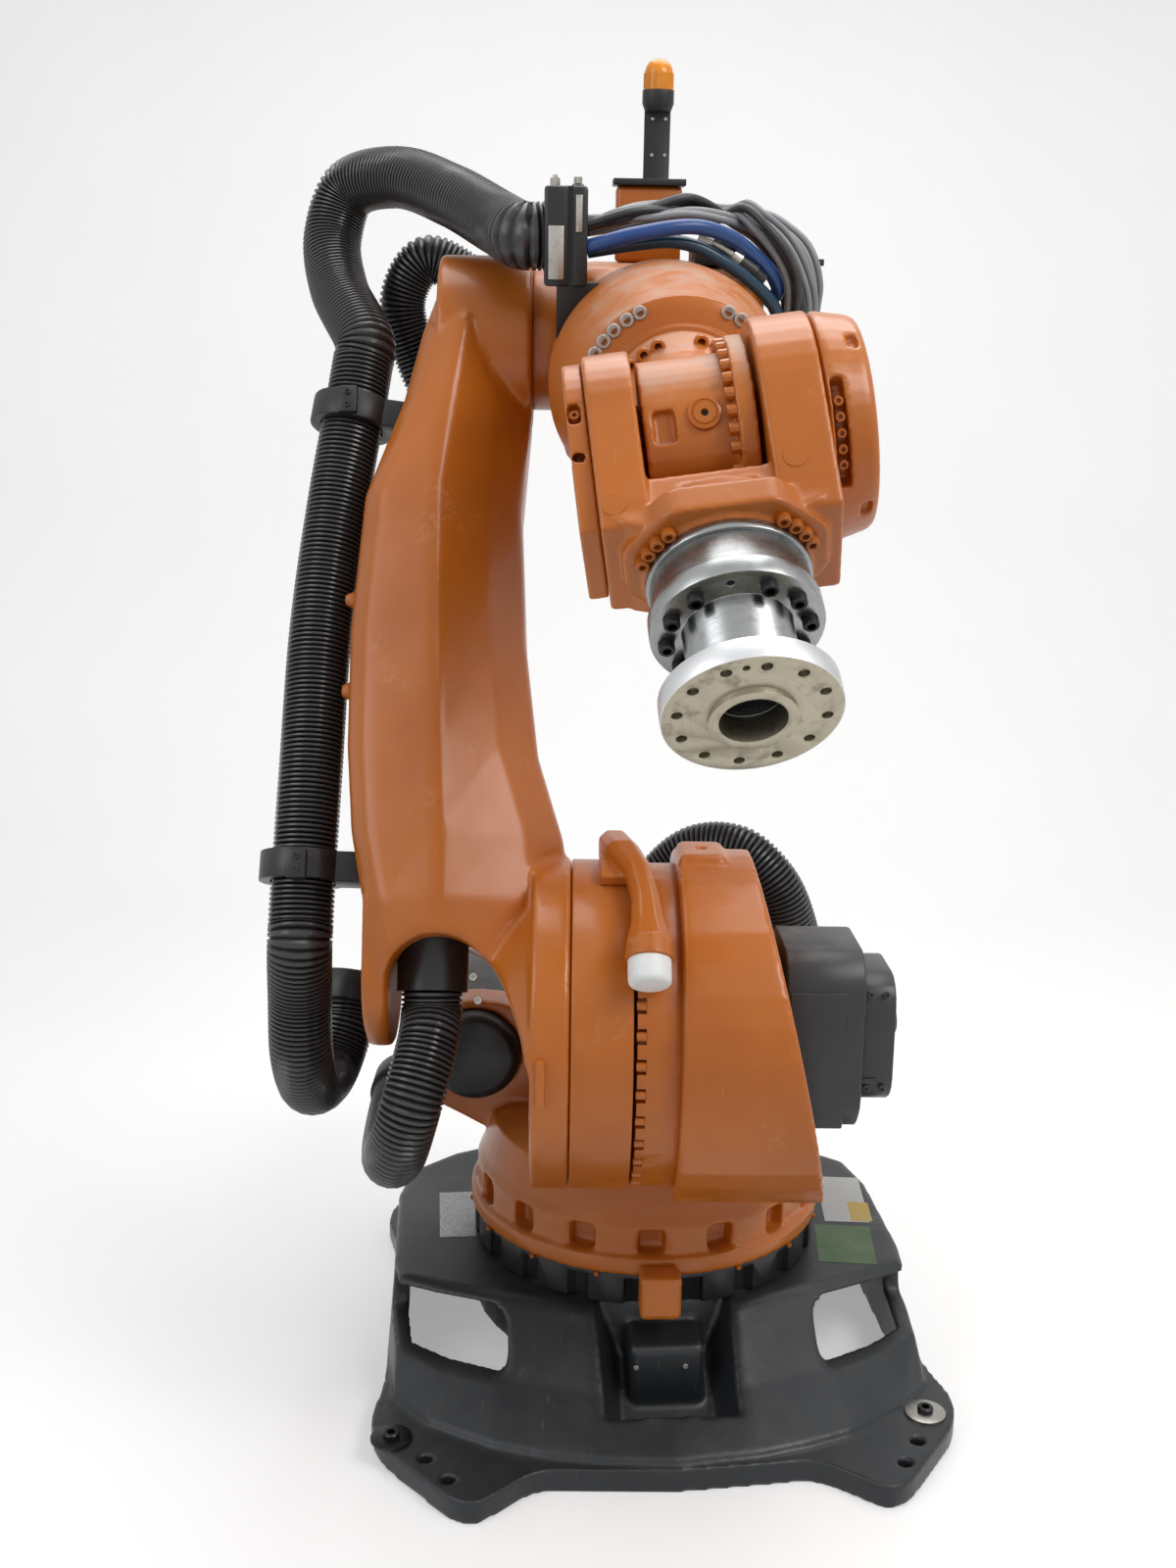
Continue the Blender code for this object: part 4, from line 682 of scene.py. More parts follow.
# %% Bolts of the forearm ring and the wrist
forward = (1, 0, 0)
ring_angles = [116, 124, 133, 141, 149, 66, 58, 50, 41, 33]
ring_angles += [-a for a in ring_angles]
ring_places = [on_face(FOREARM, polar(0.686, 0.15, a, 0, -0.055), forward) for a in ring_angles]
bolt_row("forearm_ring_bolts", ring_places, 0.0104, 0.009, bolt_steel, "forearm")
neck_angles = [106, 119, 132, 71, 58, 45, -106, -119, -132, -71, -58, -45]
neck_places = [on_face(WRIST, polar(-0.36, 0.101, a), forward) for a in neck_angles]
bolt_row("neck_flange_bolts", neck_places, 0.0108, 0.022, orange_paint, "wrist")
collar_places = [on_face(WRIST, polar_y(0.0342, 0.113, 10.5 * k + 3), (0, -1, 0)) for k in range(34)]
bolt_row("collar_bolts", collar_places, 0.0074, 0.011, orange_paint, "wrist", 10)

# %% Bolts of the hand
ear_places = [on_face(HAND, polar(0.2119, 0.1025, a), forward) for a in (22, 32, 42, 52, 128, 138, 148, 158)]
bolt_row("hand_ear_bolts", ear_places, 0.0082, 0.01, orange_paint, "hand")
cover_places = [on_face(HAND, polar_y(y, radius, a), polar_y(0, 1, a)) for y, radius, angles in
                ((0.147, 0.124, (24, 32, 40, 48, 56)), (-0.15, 0.102, LEFT_POCKETS)) for a in angles]
bolt_row("hand_cover_bolts", cover_places, 0.0058, 0.0065, orange_paint, "hand", 10)

# %% Bolts of the adapter
adapter_places = [on_face(TOOL, polar(0.0671, ADAPTER_CIRCLE, 4 + 30 * k), forward) for k in range(12) if k != 3]
bolt_row("adapter_bolts", adapter_places, 0.0095, 0.012, black_steel, "tool", 16, 0.55)

# %% Studs of the gearbox ring, and bolts under the column's flange
FLANGE_CIRCLE = 0.3412
studs = [on_face(place, (0.2685, -0.0335, 0), (0, -1, 0)) for place in gear_places]
bolt_row("gear_ring_bolts", studs, 0.0076, 0.015, orange_paint, "column", 12, 0.5)
flange_angles = [2 * pi * k / 16 + 0.1 for k in range(16)]
flange_places = [on_face(COLUMN, (FLANGE_CIRCLE * cos(a), FLANGE_CIRCLE * sin(a), 0.2646), (0, 0, -1))
                 for a in flange_angles]
bolt_row("ring_flange_bolts", flange_places, 0.0046, 0.0065, orange_paint, "column", 8, 0.4)

# %% Small screws elsewhere
recess_places = [on_face(BASE, (0.4082, y, 0.128), forward) for y in (-0.056, 0.032)]
bolt_row("recess_screws", recess_places, 0.0048, 0.0035, bolt_steel, "base")
duct_places = [on_face(LINK, (0.195, y, z), forward) for y, z in ((-0.308, 0.063), (-0.2995, 0.026))]
bolt_row("duct_screws", duct_places, 0.007, 0.012, bolt_steel, "link")
motor_places = [on_face(SHOULDER, (0.0952, y, z), forward) for y in (0.372, 0.345) for z in (0.088, -0.078)]
bolt_row("motor_cover_screws", motor_places, 0.006, 0.004, motor_black, "column")

# %% [markdown]
# ## Ribbed hoses
# A corrugated hose is a tube whose radius rises and falls along its length. One circle is extruded
# along the route, three rings for each rib, and each new ring is moved on by the matrix that carries
# the last station to the next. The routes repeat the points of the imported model's hoses.

# %% A smooth route and a tube along it
HOSE_RADIUS = 0.056
HOSE_SIDES = 20
SEAT = 0.0003
RIB_PITCH = 0.0088
RIB_DEPTH = 0.0056
RINGS_PER_RIB = 3
CLAMP_RADIUS = 0.076
FINE_STEPS = 24


def length_of(points):
    return sum((q - p).length for p, q in zip(points, points[1:]))


def smooth_route(points, spacing):
    """Evenly spaced points on one smooth curve through the route's own points."""
    route = [Vector(point) for point in points]
    ends = [2 * route[0] - route[1], *route, 2 * route[-1] - route[-2]]
    fine = []
    for a, b, c, d in zip(ends, ends[1:], ends[2:], ends[3:]):
        before, here, after = ((q - p).length ** 0.5 for p, q in ((a, b), (b, c), (c, d)))
        slope_b = (b - a) / before - (c - a) / (before + here) + (c - b) / here
        slope_c = (c - b) / here - (d - b) / (here + after) + (d - c) / after
        start, end = slope_b * here, slope_c * here
        for t in (k / FINE_STEPS for k in range(FINE_STEPS)):
            fine.append((2 * t**3 - 3 * t**2 + 1) * b + (t**3 - 2 * t**2 + t) * start
                        + (3 * t**2 - 2 * t**3) * c + (t**3 - t**2) * end)
    fine.append(route[-1])
    length = length_of(fine)
    count = max(3, round(length / spacing))
    result, walked, target = [fine[0]], 0.0, length / count
    for p, q in zip(fine, fine[1:]):
        step = (q - p).length
        while step > 0 and walked + step >= target * len(result) and len(result) < count:
            result.append(p.lerp(q, (target * len(result) - walked) / step))
        walked += step
    return [*result, fine[-1]]


def tube(stations, radii, sides):
    """A closed tube through the stations, with one radius for each."""
    bm = bmesh.new()
    bmesh.ops.create_circle(bm, cap_ends=False, segments=sides, radius=1.0)
    nexts, befores = [*stations[1:], stations[-1]], [stations[0], *stations[:-1]]
    directions = [(after - before).normalized() for before, after in zip(befores, nexts)]
    turned = directions[0].to_track_quat("Z", "Y")
    last = Matrix.Identity(4)
    ring, verts = bm.edges[:], bm.verts[:]
    for k, (spot, radius) in enumerate(zip(stations, radii)):
        if k:
            turned = directions[k - 1].rotation_difference(directions[k]) @ turned
            verts, ring = grow(bm, ring)
        here = Matrix.LocRotScale(spot, turned, Vector((radius, radius, radius)))
        bmesh.ops.transform(bm, matrix=here @ last.inverted(), verts=verts)
        last = here
        if k == 0:
            bmesh.ops.edgeloop_fill(bm, edges=ring)
    bmesh.ops.edgeloop_fill(bm, edges=ring)
    bmesh.ops.recalc_face_normals(bm, faces=bm.faces)
    return bm


def ribbed_hose(name, points, radius, node, body=None):
    """A corrugated hose along a route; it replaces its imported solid."""
    stations = smooth_route(points, RIB_PITCH / RINGS_PER_RIB)
    radii = [radius if k % RINGS_PER_RIB else radius - RIB_DEPTH for k in range(len(stations))]
    hose = piece_from(name, tube(stations, radii, HOSE_SIDES), hose_rubber, body, (node,), sharp=35)
    # Groove rings get 0 here, and the hose rubber paints shade into them by this value.
    crests = [1.0 if (k // HOSE_SIDES) % RINGS_PER_RIB else 0.0 for k in range(len(hose.data.vertices))]
    hose.data.attributes.new("crest", "FLOAT", "POINT").data.foreach_set("value", crests)
    print(name, round(length_of(stations), 3), "m long,", triangles_of(hose), "triangles")
    return hose


# %% Routes of the hoses
LINK_RUN = [(0.032, -0.616, 0.16), (0.03, -0.616, 0.2), (0.02, -0.612, 0.42), (0.005, -0.606, 0.7),
            (0.0, -0.584, 0.94), (0.0, -0.56, 1.12), (0.0, -0.55, 1.2)]
TOP_LOOP = [(-0.235, -0.612, 2.01), (-0.3, -0.632, 2.11), (-0.31, -0.6, 2.2), (-0.245, -0.5, 2.215),
            (-0.13, -0.385, 2.165), (0.0, -0.29, 2.1)]
LOW_LOOP = [(0.31, -0.622, 0.78), (0.285, -0.626, 0.66), (0.21, -0.622, 0.57), (0.11, -0.606, 0.56)]
INNER_LOOP = [(0.44, -0.388, 0.745), (0.495, -0.412, 0.655), (0.475, -0.436, 0.57), (0.4, -0.455, 0.518),
              (0.28, -0.468, 0.5)]
REAR_LOOP = [(-0.33, -0.33, 2.02), (-0.32, -0.45, 2.075), (-0.33, -0.5, 2.0), (-0.35, -0.47, 1.88),
             (-0.36, -0.405, 1.75), (-0.325, -0.355, 1.665)]
COLUMN_RUN = [(-0.125, -0.04, 0.7), (-0.15, 0.0, 0.83), (-0.14, 0.09, 0.93), (-0.11, 0.18, 0.94),
              (-0.09, 0.25, 0.88), (-0.11, 0.3, 0.76), (-0.2, 0.33, 0.6), (-0.4, 0.27, 0.42),
              (-0.47, 0.15, 0.3)]
RETURN_END = Vector((0.03, -0.58, 0.655))
RETURN_AXIS = Vector((-0.55, 0.1, 0.82)).normalized()


def loop_points(route, first, lead, last, trail):
    """A route whose ends leave their two faces square, a seat gap off each."""
    first, last = Vector(first), Vector(last)
    lead, trail = Vector(lead).normalized(), Vector(trail).normalized()
    ends = HOSE_RADIUS * 0.6
    start = [first + lead * SEAT, first + lead * ends]
    return start + [Vector(point) for point in route] + [last + trail * ends, last + trail * SEAT]


def heading(place, direction):
    return place.to_3x3() @ Vector(direction)


def placed(place, points):
    return [place @ Vector(point) for point in points]


run_top, run_bottom = Vector(LINK_RUN[-1]), Vector(LINK_RUN[0])
top_points = loop_points(TOP_LOOP, LINK @ run_top, heading(LINK, run_top - Vector(LINK_RUN[-2])),
                         FOREARM @ Vector((0.21, -0.211, 0.183)), heading(FOREARM, (0, -1, 0)))
low_points = loop_points(LOW_LOOP, LINK @ run_bottom, heading(LINK, run_bottom - Vector(LINK_RUN[1])),
                         RETURN_END, -RETURN_AXIS)
inner_points = loop_points(INNER_LOOP, LINK @ Vector((0.06, -0.385, 0.045)), heading(LINK, (0, 0, -1)),
                           (0.09, -0.474, 0.5), (1, 0, 0))
rear_points = loop_points(REAR_LOOP, FOREARM @ Vector((-0.2, -0.178, 0.03)), heading(FOREARM, (0, -1, 0)),
                          LINK @ Vector((-0.172, -0.345, 1.08)), heading(LINK, (-1, 0, 0)))
column_points = loop_points(COLUMN_RUN, (-0.1, -0.045, 0.56), (0, 0, 1),
                            BASE @ Vector((-0.476, 0.08, 0.185)), (0, 0, 1))
print("routes:", 6)

# %% Straight hose beside the link arm
ribbed_hose("link_hose_ribbed", placed(LINK, LINK_RUN), HOSE_RADIUS, "link_hose", "link")

# %% Loops that run across a joint
for name, node, points, radius, bodies in (
    ("elbow_hose_ribbed", "elbow_hose_loop", top_points, HOSE_RADIUS, ("link", "forearm")),
    ("shoulder_hose_ribbed", "shoulder_hose_loop", low_points, HOSE_RADIUS, ("link", "column")),
    ("inner_hose_ribbed", "inner_hose_loop", inner_points, HOSE_RADIUS - 0.004, ("link", "column")),
    ("rear_hose_ribbed", "rear_hose_loop", rear_points, HOSE_RADIUS - 0.01, ("forearm", "link")),
    ("column_hose_ribbed", "column_hose_loop", column_points, HOSE_RADIUS - 0.006, ("column", "base")),
):
    loop = ribbed_hose(name, points, radius, node)
    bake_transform(loop)

# %% [markdown]
# ## Cables and air hoses on the forearm
# Past the clamp the big hose opens and its contents spread out: grey and black cables and blue air
# hoses arch over the forearm and drop to their connectors. Each cable keeps its own place in the
# bundle and wanders a little, as real ones do.

# %% Cable bundle
GREY_RUNS = (
    [(0.2, -0.1387, 0.199), (0.195, -0.077, 0.214), (0.175, -0.012, 0.239), (0.16, 0.032, 0.25),
     (0.12, 0.075, 0.238), (0.09, 0.11, 0.218), (0.06, 0.16, 0.19), (0.04, 0.205, 0.14),
     (0.03, 0.228, 0.05), (0.02, 0.212, -0.04), (0.01, 0.192, -0.085), (0.01, 0.1783, -0.09)],
    [(0.185, -0.1387, 0.213), (0.19, -0.041, 0.215), (0.185, 0.03, 0.223), (0.16, 0.098, 0.214),
     (0.12, 0.154, 0.196), (0.105, 0.212, 0.15), (0.1, 0.236, 0.06), (0.08, 0.216, -0.04),
     (0.06, 0.192, -0.1), (0.06, 0.1783, -0.104)],
    [(0.175, -0.1387, 0.205), (0.15, -0.06, 0.232), (0.1, 0.03, 0.235), (0.08, 0.104, 0.23),
     (0.11, 0.13, 0.238), (0.14, 0.157, 0.219), (0.155, 0.2, 0.185), (0.15, 0.232, 0.138),
     (0.13, 0.255, 0.068), (0.1, 0.236, -0.02), (0.05, 0.198, -0.094), (0.03, 0.1783, -0.122)],
    [(0.21, -0.1387, 0.203), (0.19, -0.06, 0.222), (0.14, 0.02, 0.216), (0.11, 0.074, 0.208),
     (0.14, 0.117, 0.225), (0.17, 0.15, 0.198), (0.17, 0.192, 0.151), (0.16, 0.212, 0.111),
     (0.14, 0.216, 0.05), (0.11, 0.212, -0.03), (0.08, 0.194, -0.104), (0.08, 0.1783, -0.13)],
    [(0.18, -0.1387, 0.19), (0.13, -0.04, 0.206), (0.07, 0.06, 0.215), (0.06, 0.166, 0.222),
     (0.09, 0.208, 0.2), (0.11, 0.244, 0.165), (0.11, 0.264, 0.11), (0.085, 0.266, 0.063),
     (0.06, 0.256, -0.02), (0.02, 0.214, -0.096), (-0.01, 0.1783, -0.14)],
)


def shifted(run, side, along, rise):
    """A run moved within the bundle; its first and last points stay on their faces."""
    moved = []
    for k, (x, y, z) in enumerate(run):
        free = min(1.0, k / 2, (len(run) - 1 - k) / 2)
        moved.append((x + along * free, y + side * free, z + rise * free))
    return moved


def cable_set(name, runs, radius, finish, replaced=(), sides=8):
    """Smooth tubes along runs in the forearm's frame, as one piece."""
    routes = [smooth_route(placed(FOREARM, run), 0.012) for run in runs]
    bm = together(*(tube(route, [radius] * len(route), sides) for route in routes))
    cable = piece_from(name, bm, finish, "forearm", replaced, sharp=60)
    print(name, len(runs), "runs,", triangles_of(cable), "triangles")


grey_runs = [*GREY_RUNS[1:], *(shifted(run, 0.012, -0.012, 0.006) for run in GREY_RUNS[1:])]
cable_set("forearm_cables", grey_runs, 0.0066, grey_cable_skin, ("signal_cables",))
dark_runs = [GREY_RUNS[0], shifted(GREY_RUNS[0], 0.006, -0.02, -0.006),
             shifted(GREY_RUNS[2], -0.012, 0.014, -0.01), shifted(GREY_RUNS[3], 0.014, 0.012, 0.01)]
cable_set("forearm_dark_cables", dark_runs, 0.0078, dark_cable_skin)

# %% Air hoses
BLUE_RUN = [(0.265, -0.1387, 0.167), (0.272, -0.11, 0.175), (0.28, -0.065, 0.187), (0.262, 0.037, 0.202),
            (0.222, 0.103, 0.186), (0.188, 0.148, 0.158), (0.158, 0.186, 0.124), (0.136, 0.198, 0.096),
            (0.122, 0.1783, 0.08)]
TEAL_RUN = [(0.24, -0.1387, 0.16), (0.245, -0.064, 0.172), (0.245, 0.001, 0.178), (0.235, 0.045, 0.17),
            (0.225, 0.083, 0.152), (0.21, 0.122, 0.13), (0.19, 0.158, 0.104), (0.166, 0.19, 0.072),
            (0.146, 0.198, 0.046), (0.132, 0.1783, 0.03)]
cable_set("forearm_air_hose", [BLUE_RUN], 0.0128, blue_hose_skin, ("air_hose",), 14)
cable_set("forearm_teal_hose", [TEAL_RUN], 0.0115, teal_hose_skin, (), 14)

# %% Couplings between the hoses and the forearm
COUPLING_POINTS = ((0.205, 0.05, 0.186), (0.205, 0.074, 0.178), (0.204, 0.092, 0.169), (0.202, 0.108, 0.159),
                   (0.2, 0.122, 0.149), (0.196, 0.15, 0.13), (0.19, 0.166, 0.118))
COUPLING_SIZES = ((0.0095, 6), (0.0125, 16), (0.0105, 16), (0.014, 20), (0.0125, 16), (0.0095, 16))
coupling_bars = [bar(FOREARM, start, end, radius, sides) for start, end, (radius, sides) in
                 zip(COUPLING_POINTS, COUPLING_POINTS[1:], COUPLING_SIZES)]
piece_from("hose_couplings", together(*coupling_bars[:4]), bolt_steel, "forearm")
piece_from("coupling_backshells", together(*coupling_bars[4:]), black_plastic, "forearm")
print("coupling bars:", len(coupling_bars))

# %% [markdown]
# ### Hose clamp on the forearm
# The clamp is two black jaws, held by steel bolts from above and by a steel plate at the front.

# %% Steel parts of the clamp
clamp_plates = [block(FOREARM, (0.2852, -0.204, 0.115), (0.2892, -0.178, 0.2), 0.0015),
                block(FOREARM, (0.2852, -0.159, 0.19), (0.2902, -0.148, 0.248), 0.0015),
                block(FOREARM, (0.19, -0.166, 0.2622), (0.26, -0.146, 0.266), 0.0012)]
clamp_bolts = [bar(FOREARM, (x, y, low), (x, y, high), radius, sides) for x, y, low, high, radius, sides in (
    (0.262, -0.194, 0.262, 0.274, 0.008, 6), (0.225, -0.194, 0.262, 0.272, 0.008, 6),
    (0.262, -0.156, 0.266, 0.276, 0.007, 6), (0.205, -0.156, 0.266, 0.276, 0.007, 6),
    (0.225, -0.194, 0.272, 0.28, 0.004, 12))]
piece_from("clamp_steel_parts", together(*clamp_plates, *clamp_bolts), bolt_steel, "forearm")
print("clamp parts:", len(clamp_plates) + len(clamp_bolts))

# %% [markdown]
# ## Beacon and buffer
# The beacon's lens is turned from its profile by a spin. The buffer is a thick nylon stub with a
# rounded end.

# %% Spin a profile about an axis


def spun(place, profile, steps):
    """A closed solid of revolution about a frame's Z axis. The profile holds (radius, height) pairs."""
    bm = bmesh.new()
    verts = [bm.verts.new((radius, 0, height)) for radius, height in profile]
    edges = [bm.edges.new(pair) for pair in zip(verts, verts[1:])]
    bmesh.ops.spin(bm, geom=verts + edges, cent=(0, 0, 0), axis=(0, 0, 1), angle=2 * pi, steps=steps, use_merge=True)
    bmesh.ops.remove_doubles(bm, verts=bm.verts, dist=0.00002)
    bmesh.ops.recalc_face_normals(bm, faces=bm.faces)
    bmesh.ops.transform(bm, matrix=place, verts=bm.verts)
    return bm


LENS_RIBS = 30
beacon_place = FOREARM @ move(-0.1, -0.011, 0)
lens_profile = [(0.0, 0.493), (0.008, 0.4922), (0.015, 0.4892), (0.0205, 0.484), (0.0243, 0.477), (0.0262, 0.469),
                (0.0266, 0.46), (0.0268, 0.4405), (0.0, 0.4405)]
piece_from("beacon_lens", spun(beacon_place, lens_profile, 48), amber_lens, "forearm", ("beacon_dome",), 50)
rib_turns = [radians(12 * k) for k in range(LENS_RIBS)]
lens_ribs = together(*(bar(beacon_place, (0.0266 * cos(a), 0.0266 * sin(a), 0.442),
                           (0.0263 * cos(a), 0.0263 * sin(a), 0.468), 0.0011, 6) for a in rib_turns))
piece_from("beacon_lens_ribs", lens_ribs, amber_lens, "forearm", sharp=50)
print("beacon lens with", LENS_RIBS, "ribs")

# %% Nylon buffer
BUFFER_RADIUS = 0.319
buffer_foot = polar_y(-0.031, BUFFER_RADIUS, 15.5)
buffer_way = (buffer_foot - polar_y(-0.031, BUFFER_RADIUS, 22.0)).normalized()
buffer_profile = [(0.0, 0.041), (0.0255, 0.041), (0.03, 0.0396), (0.0328, 0.0365), (0.0338, 0.032), (0.034, SEAT),
                  (0.0, SEAT)]
buffer_stub = spun(on_face(LINK, buffer_foot, buffer_way), buffer_profile, 40)
piece_from("nylon_buffer", buffer_stub, pale_nylon, "link", ("end_stop_buffer",), 50)
print("buffer length:", buffer_profile[0][1])

# %% Cup and screws of the beacon
cup_profile = [(0.0, 0.4402), (0.0285, 0.4402), (0.029, 0.435), (0.029, 0.417), (0.024, 0.404), (0.0, 0.402)]
piece_from("beacon_cup", spun(beacon_place, cup_profile, 40), black_plastic, "forearm", (), 40)
beacon_screws = [on_face(FOREARM, (-0.1038, y, z), forward) for z in (0.392, 0.33) for y in (-0.02, 0.004)]
bolt_row("beacon_screws", beacon_screws, 0.003, 0.0016, bolt_steel, "forearm", 10)

# %% [markdown]
# ## Small pieces that the eye looks for
# A screw plug closes the neck, wide washers lie on two feet of the base, and a lug stands on the front
# of the hub. Bare plates and a strip of tape stand where the real arm carries its labels.

# %% Screw plug of the neck
plug_way = polar_y(0, 1, 26)
plug_place = on_face(WRIST, plug_way * 0.103 + Vector((0, -0.002, 0)), plug_way)
plug_profile = [(0.0, 0.0005), (0.0045, 0.0005), (0.0045, 0.0062), (0.0125, 0.0062), (0.014, 0.0045), (0.015, 0.0045),
                (0.0165, 0.006), (0.019, 0.0052), (0.0205, -0.004), (0.0, -0.004)]
piece_from("neck_plug", spun(plug_place, plug_profile, 36), orange_paint, "wrist", (), 40)
# A near-black hexagon at the bottom of the plug's recess: painted shade for the depth of its socket.
socket_shade_disc = bar(plug_place, (0, 0, 0.0004), (0, 0, 0.0012), 0.0044, 6)
piece_from("neck_plug_shade_disc", socket_shade_disc, hole_shade_paint, "wrist")
print("plug ready")

# %% Two flat plugs on the hand


def seat_on(piece, guess):
    """A matrix that stands a small part on the point of a piece that is nearest to a guess."""
    spot, normal = piece.closest_point_on_mesh(guess)[1:3]
    return Matrix.Translation(spot) @ facing(normal)


flat_plug = [(0.0, 0.001), (0.0138, 0.001), (0.0146, 0.0002), (0.015, -0.0012), (0.0, -0.0012)]
hand_plugs = [spun(seat_on(hand_casting, guess), flat_plug, 36)
              for guess in placed(HAND, ((0.165, -0.118, 0.082), (0.14, 0.088, 0.1)))]
print("hand plugs:", len(hand_plugs))
piece_from("hand_plugs", together(*hand_plugs), orange_paint, "hand", (), 30)

# %% Lugs and screws of the two link clamps
clamp_lugs, lug_screws = bmesh.new(), []
for a, b, share in ((1, 2, 0.25), (4, 5, 0.86)):
    front = Vector(LINK_RUN[a]).lerp(Vector(LINK_RUN[b]), share) + Vector((CLAMP_RADIUS, 0, 0))
    lug_low, lug_high = front + Vector((-0.012, -0.017, -0.0255)), front + Vector((0.01, 0.017, 0.0255))
    add_to(clamp_lugs, block(LINK, lug_low, lug_high, 0.004))
    lug_screws += [on_face(LINK, front + Vector((0.0102, 0, z)), forward) for z in (-0.012, 0.012)]
piece_from("link_clamp_lugs", clamp_lugs, black_plastic, "link")
bolt_row("link_clamp_screws", lug_screws, 0.0055, 0.0035, black_steel, "link")

# %% Washers on the base
washer_profile = [(0.01, SEAT), (0.036, SEAT), (0.036, 0.004), (0.0345, 0.0048), (0.01, 0.0048), (0.01, SEAT)]
for side, x, y, finish in (("left", 0.464, -0.484, black_steel), ("right", 0.444, 0.46, bolt_steel)):
    washer = spun(BASE @ move(x, y, 0.042), washer_profile, 40)
    piece_from("washer_" + side, washer, finish, "base", (), 40)
    head = on_face(BASE, (x, y, 0.044), (0, 0, 1))
    bolt_row("washer_bolt_" + side, [head], 0.014, 0.012, black_steel, "base", 18)

# %% Lug on the hub
hub_lug = together(block(SHOULDER, (0.262, -0.206, -0.04), (0.2895, -0.19, 0.04), 0.005))
piece_from("hub_lug", hub_lug, orange_paint, "link")
print("lug ready")

# %% Bare plates and tape on the deck
DECK_SHEETS = (
    ("deck_plate", (-0.04, -0.366), (0.19, 0.082), 1.0, bare_metal, 0.0004),
    ("deck_label", (-0.066, 0.424), (0.2, 0.09), -7.0, pale_label, 0.0004),
    ("deck_label_corner", (-0.008, 0.447), (0.08, 0.042), -7.0, yellow_label, 0.0008),
    ("deck_tape", (0.122, 0.385), (0.15, 0.11), -9.0, green_tape, 0.0004),
)
for name, centre, size, angle, finish, lift in DECK_SHEETS:
    place = BASE @ move(*centre, 0.2002) @ turn(angle, "Z")
    half = Vector((size[0] / 2, size[1] / 2, lift))
    piece_from(name, block(place, (-half.x, -half.y, 0), half), finish, "base")
print("deck sheets:", len(DECK_SHEETS))

# %% Lower shell of the big motor
motor_shell = together(block(SHOULDER, (0.1, 0.2085, -0.142), (0.1192, 0.305, 0.096), 0.004),
                       block(SHOULDER, (0.08, 0.337, -0.07), (0.0985, 0.362, -0.06), 0.002))
piece_from("motor_shell", motor_shell, motor_black, "column")
print("motor shell ready")

# %% [markdown]
# ## Floor, light and camera
# The arm stands on a plain pale floor that curves up into a backdrop. Three large soft lamps light it
# from above and from both sides, much as the hall does in the photograph. The camera stands a little
# above the hand and looks slightly down.

# %% Floor and backdrop


def seen_directly(tree):
    """1 for rays from the camera, a glossy face or a clear one, and 0 for light that bounces softly."""
    rays = add_node(tree, "ShaderNodeLightPath").outputs
    seen = maths_node(tree, "MAXIMUM", rays["Is Camera Ray"], rays["Is Glossy Ray"])
    return maths_node(tree, "MAXIMUM", seen, rays["Is Transmission Ray"])


pale_floor, floor_tree, floor_shader = new_finish("pale_floor")
floor_noise = noise_node(floor_tree, object_coords(floor_tree), 1.5)
floor_tone = mix_colour(floor_tree, floor_noise, (0.78, 0.78, 0.78), (0.75, 0.75, 0.75))
floor_tree.links.new(floor_tone, floor_shader.inputs["Base Color"])
floor_tree.links.new(floor_tone, floor_shader.inputs["Emission Color"])
floor_shader.inputs["Roughness"].default_value = 0.7
floor_glow = product(floor_tree, seen_directly(floor_tree), 0.45)
floor_tree.links.new(floor_glow, floor_shader.inputs["Emission Strength"])
sweep = bmesh.new()
sweep_edges = [sweep.edges.new([sweep.verts.new((8, y, 0)) for y in (-9, 9)])]
for step in ((-12, 0, 0), (0, 0, 9)):
    far_verts, sweep_edges = grow(sweep, sweep_edges)
    bmesh.ops.translate(sweep, vec=step, verts=far_verts)
corner = [e for e in sweep.edges if all(abs(v.co.x + 4) < 0.01 and abs(v.co.z) < 0.01 for v in e.verts)]
bmesh.ops.bevel(sweep, geom=corner, offset=1.5, segments=16, profile=0.5, affect="EDGES", material=-1)
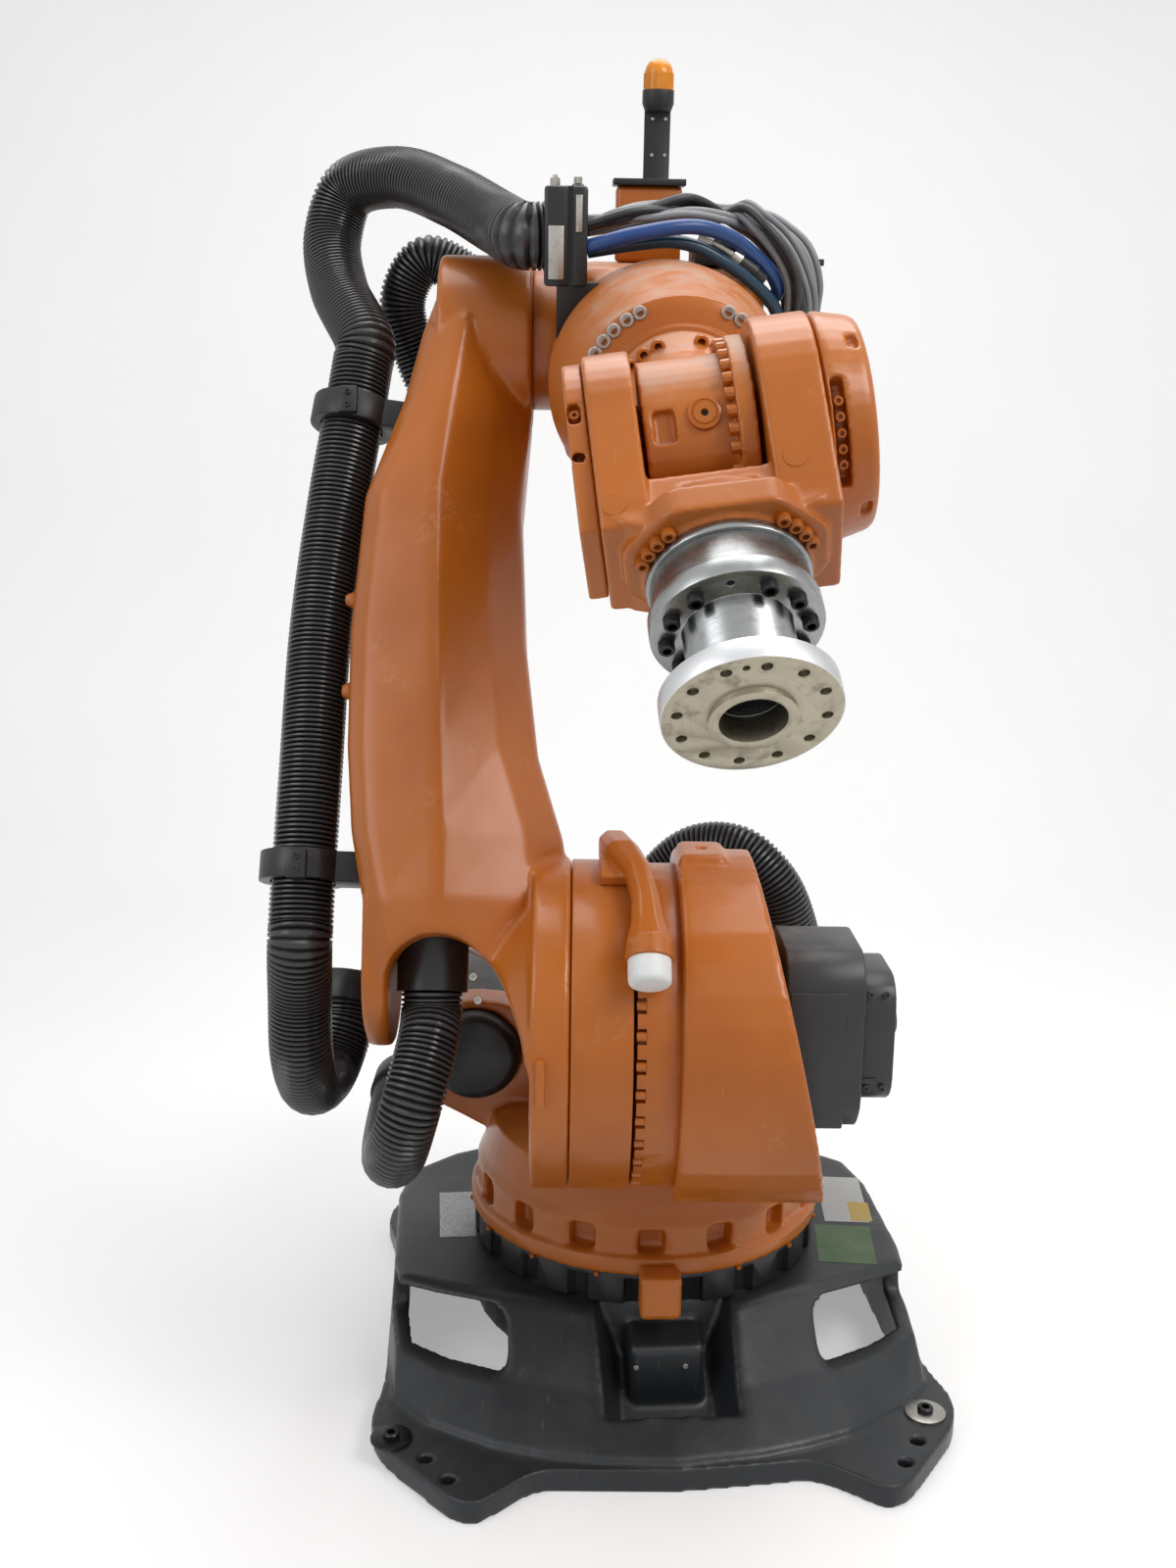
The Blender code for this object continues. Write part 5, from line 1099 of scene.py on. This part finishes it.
bmesh.ops.recalc_face_normals(sweep, faces=sweep.faces)
if sum((face.normal.z for face in sweep.faces), 0.0) < 0:
    bmesh.ops.reverse_faces(sweep, faces=sweep.faces)
floor = piece_from("studio_floor", sweep, pale_floor, sharp=60)
print("floor faces:", len(floor.data.polygons))

# %% World and lamps
world = bpy.data.worlds.new("studio")
bpy.context.scene.world = world
world.use_nodes = True
sky = world.node_tree
background = sky.nodes["Background"]
background.inputs["Color"].default_value = (1.0, 1.0, 1.0, 1.0)
strength = maths_node(sky, "ADD", product(sky, seen_directly(sky), 0.66), 0.34)
sky.links.new(strength, background.inputs["Strength"])


def lamp(name, spot, aim, size, power, tint):
    """A rectangular lamp at a spot, turned to its aim."""
    light = bpy.data.lights.new(name, "AREA")
    light.shape = "RECTANGLE"
    light.size, light.size_y = size
    light.energy = power
    light.color = tint
    way = Vector(aim) - Vector(spot)
    new_object(name, light).matrix_world = Matrix.Translation(spot) @ facing(way, "-Z")


lamp("key_lamp", (2.6, 2.6, 4.2), (0.3, 0, 1.2), (2.4, 1.6), 92, (1.0, 0.98, 0.95))
lamp("left_lamp", (2.4, -3.2, 3.2), (0.3, -0.2, 1.1), (2.0, 2.4), 40, (0.95, 0.97, 1.0))
lamp("top_lamp", (-0.6, 0.2, 4.8), (0.2, 0, 1.0), (3.0, 3.0), 95, (1.0, 1.0, 1.0))
print("lamps:", len(bpy.data.lights))

# %% Camera
camera_data = bpy.data.cameras.new("photo_camera")
camera_data.sensor_fit = "VERTICAL"
camera_data.sensor_height = 36.0
camera_data.lens = 36.0
camera = new_object("photo_camera", camera_data)
looking = Vector((-0.9786, 0.0117, -0.2055)).normalized()
right = Vector((0.0089, 0.9999, 0.0147))
right = (right - looking * right.dot(looking)).normalized()
down = looking.cross(right)
stand = Matrix((right, -down, -looking)).transposed().to_4x4()
stand.translation = (2.91, -0.1575, 1.705)
camera.matrix_world = stand
bpy.context.scene.camera = camera
bpy.context.scene.view_settings.view_transform = "Standard"
print("camera right:", [round(v, 3) for v in right])
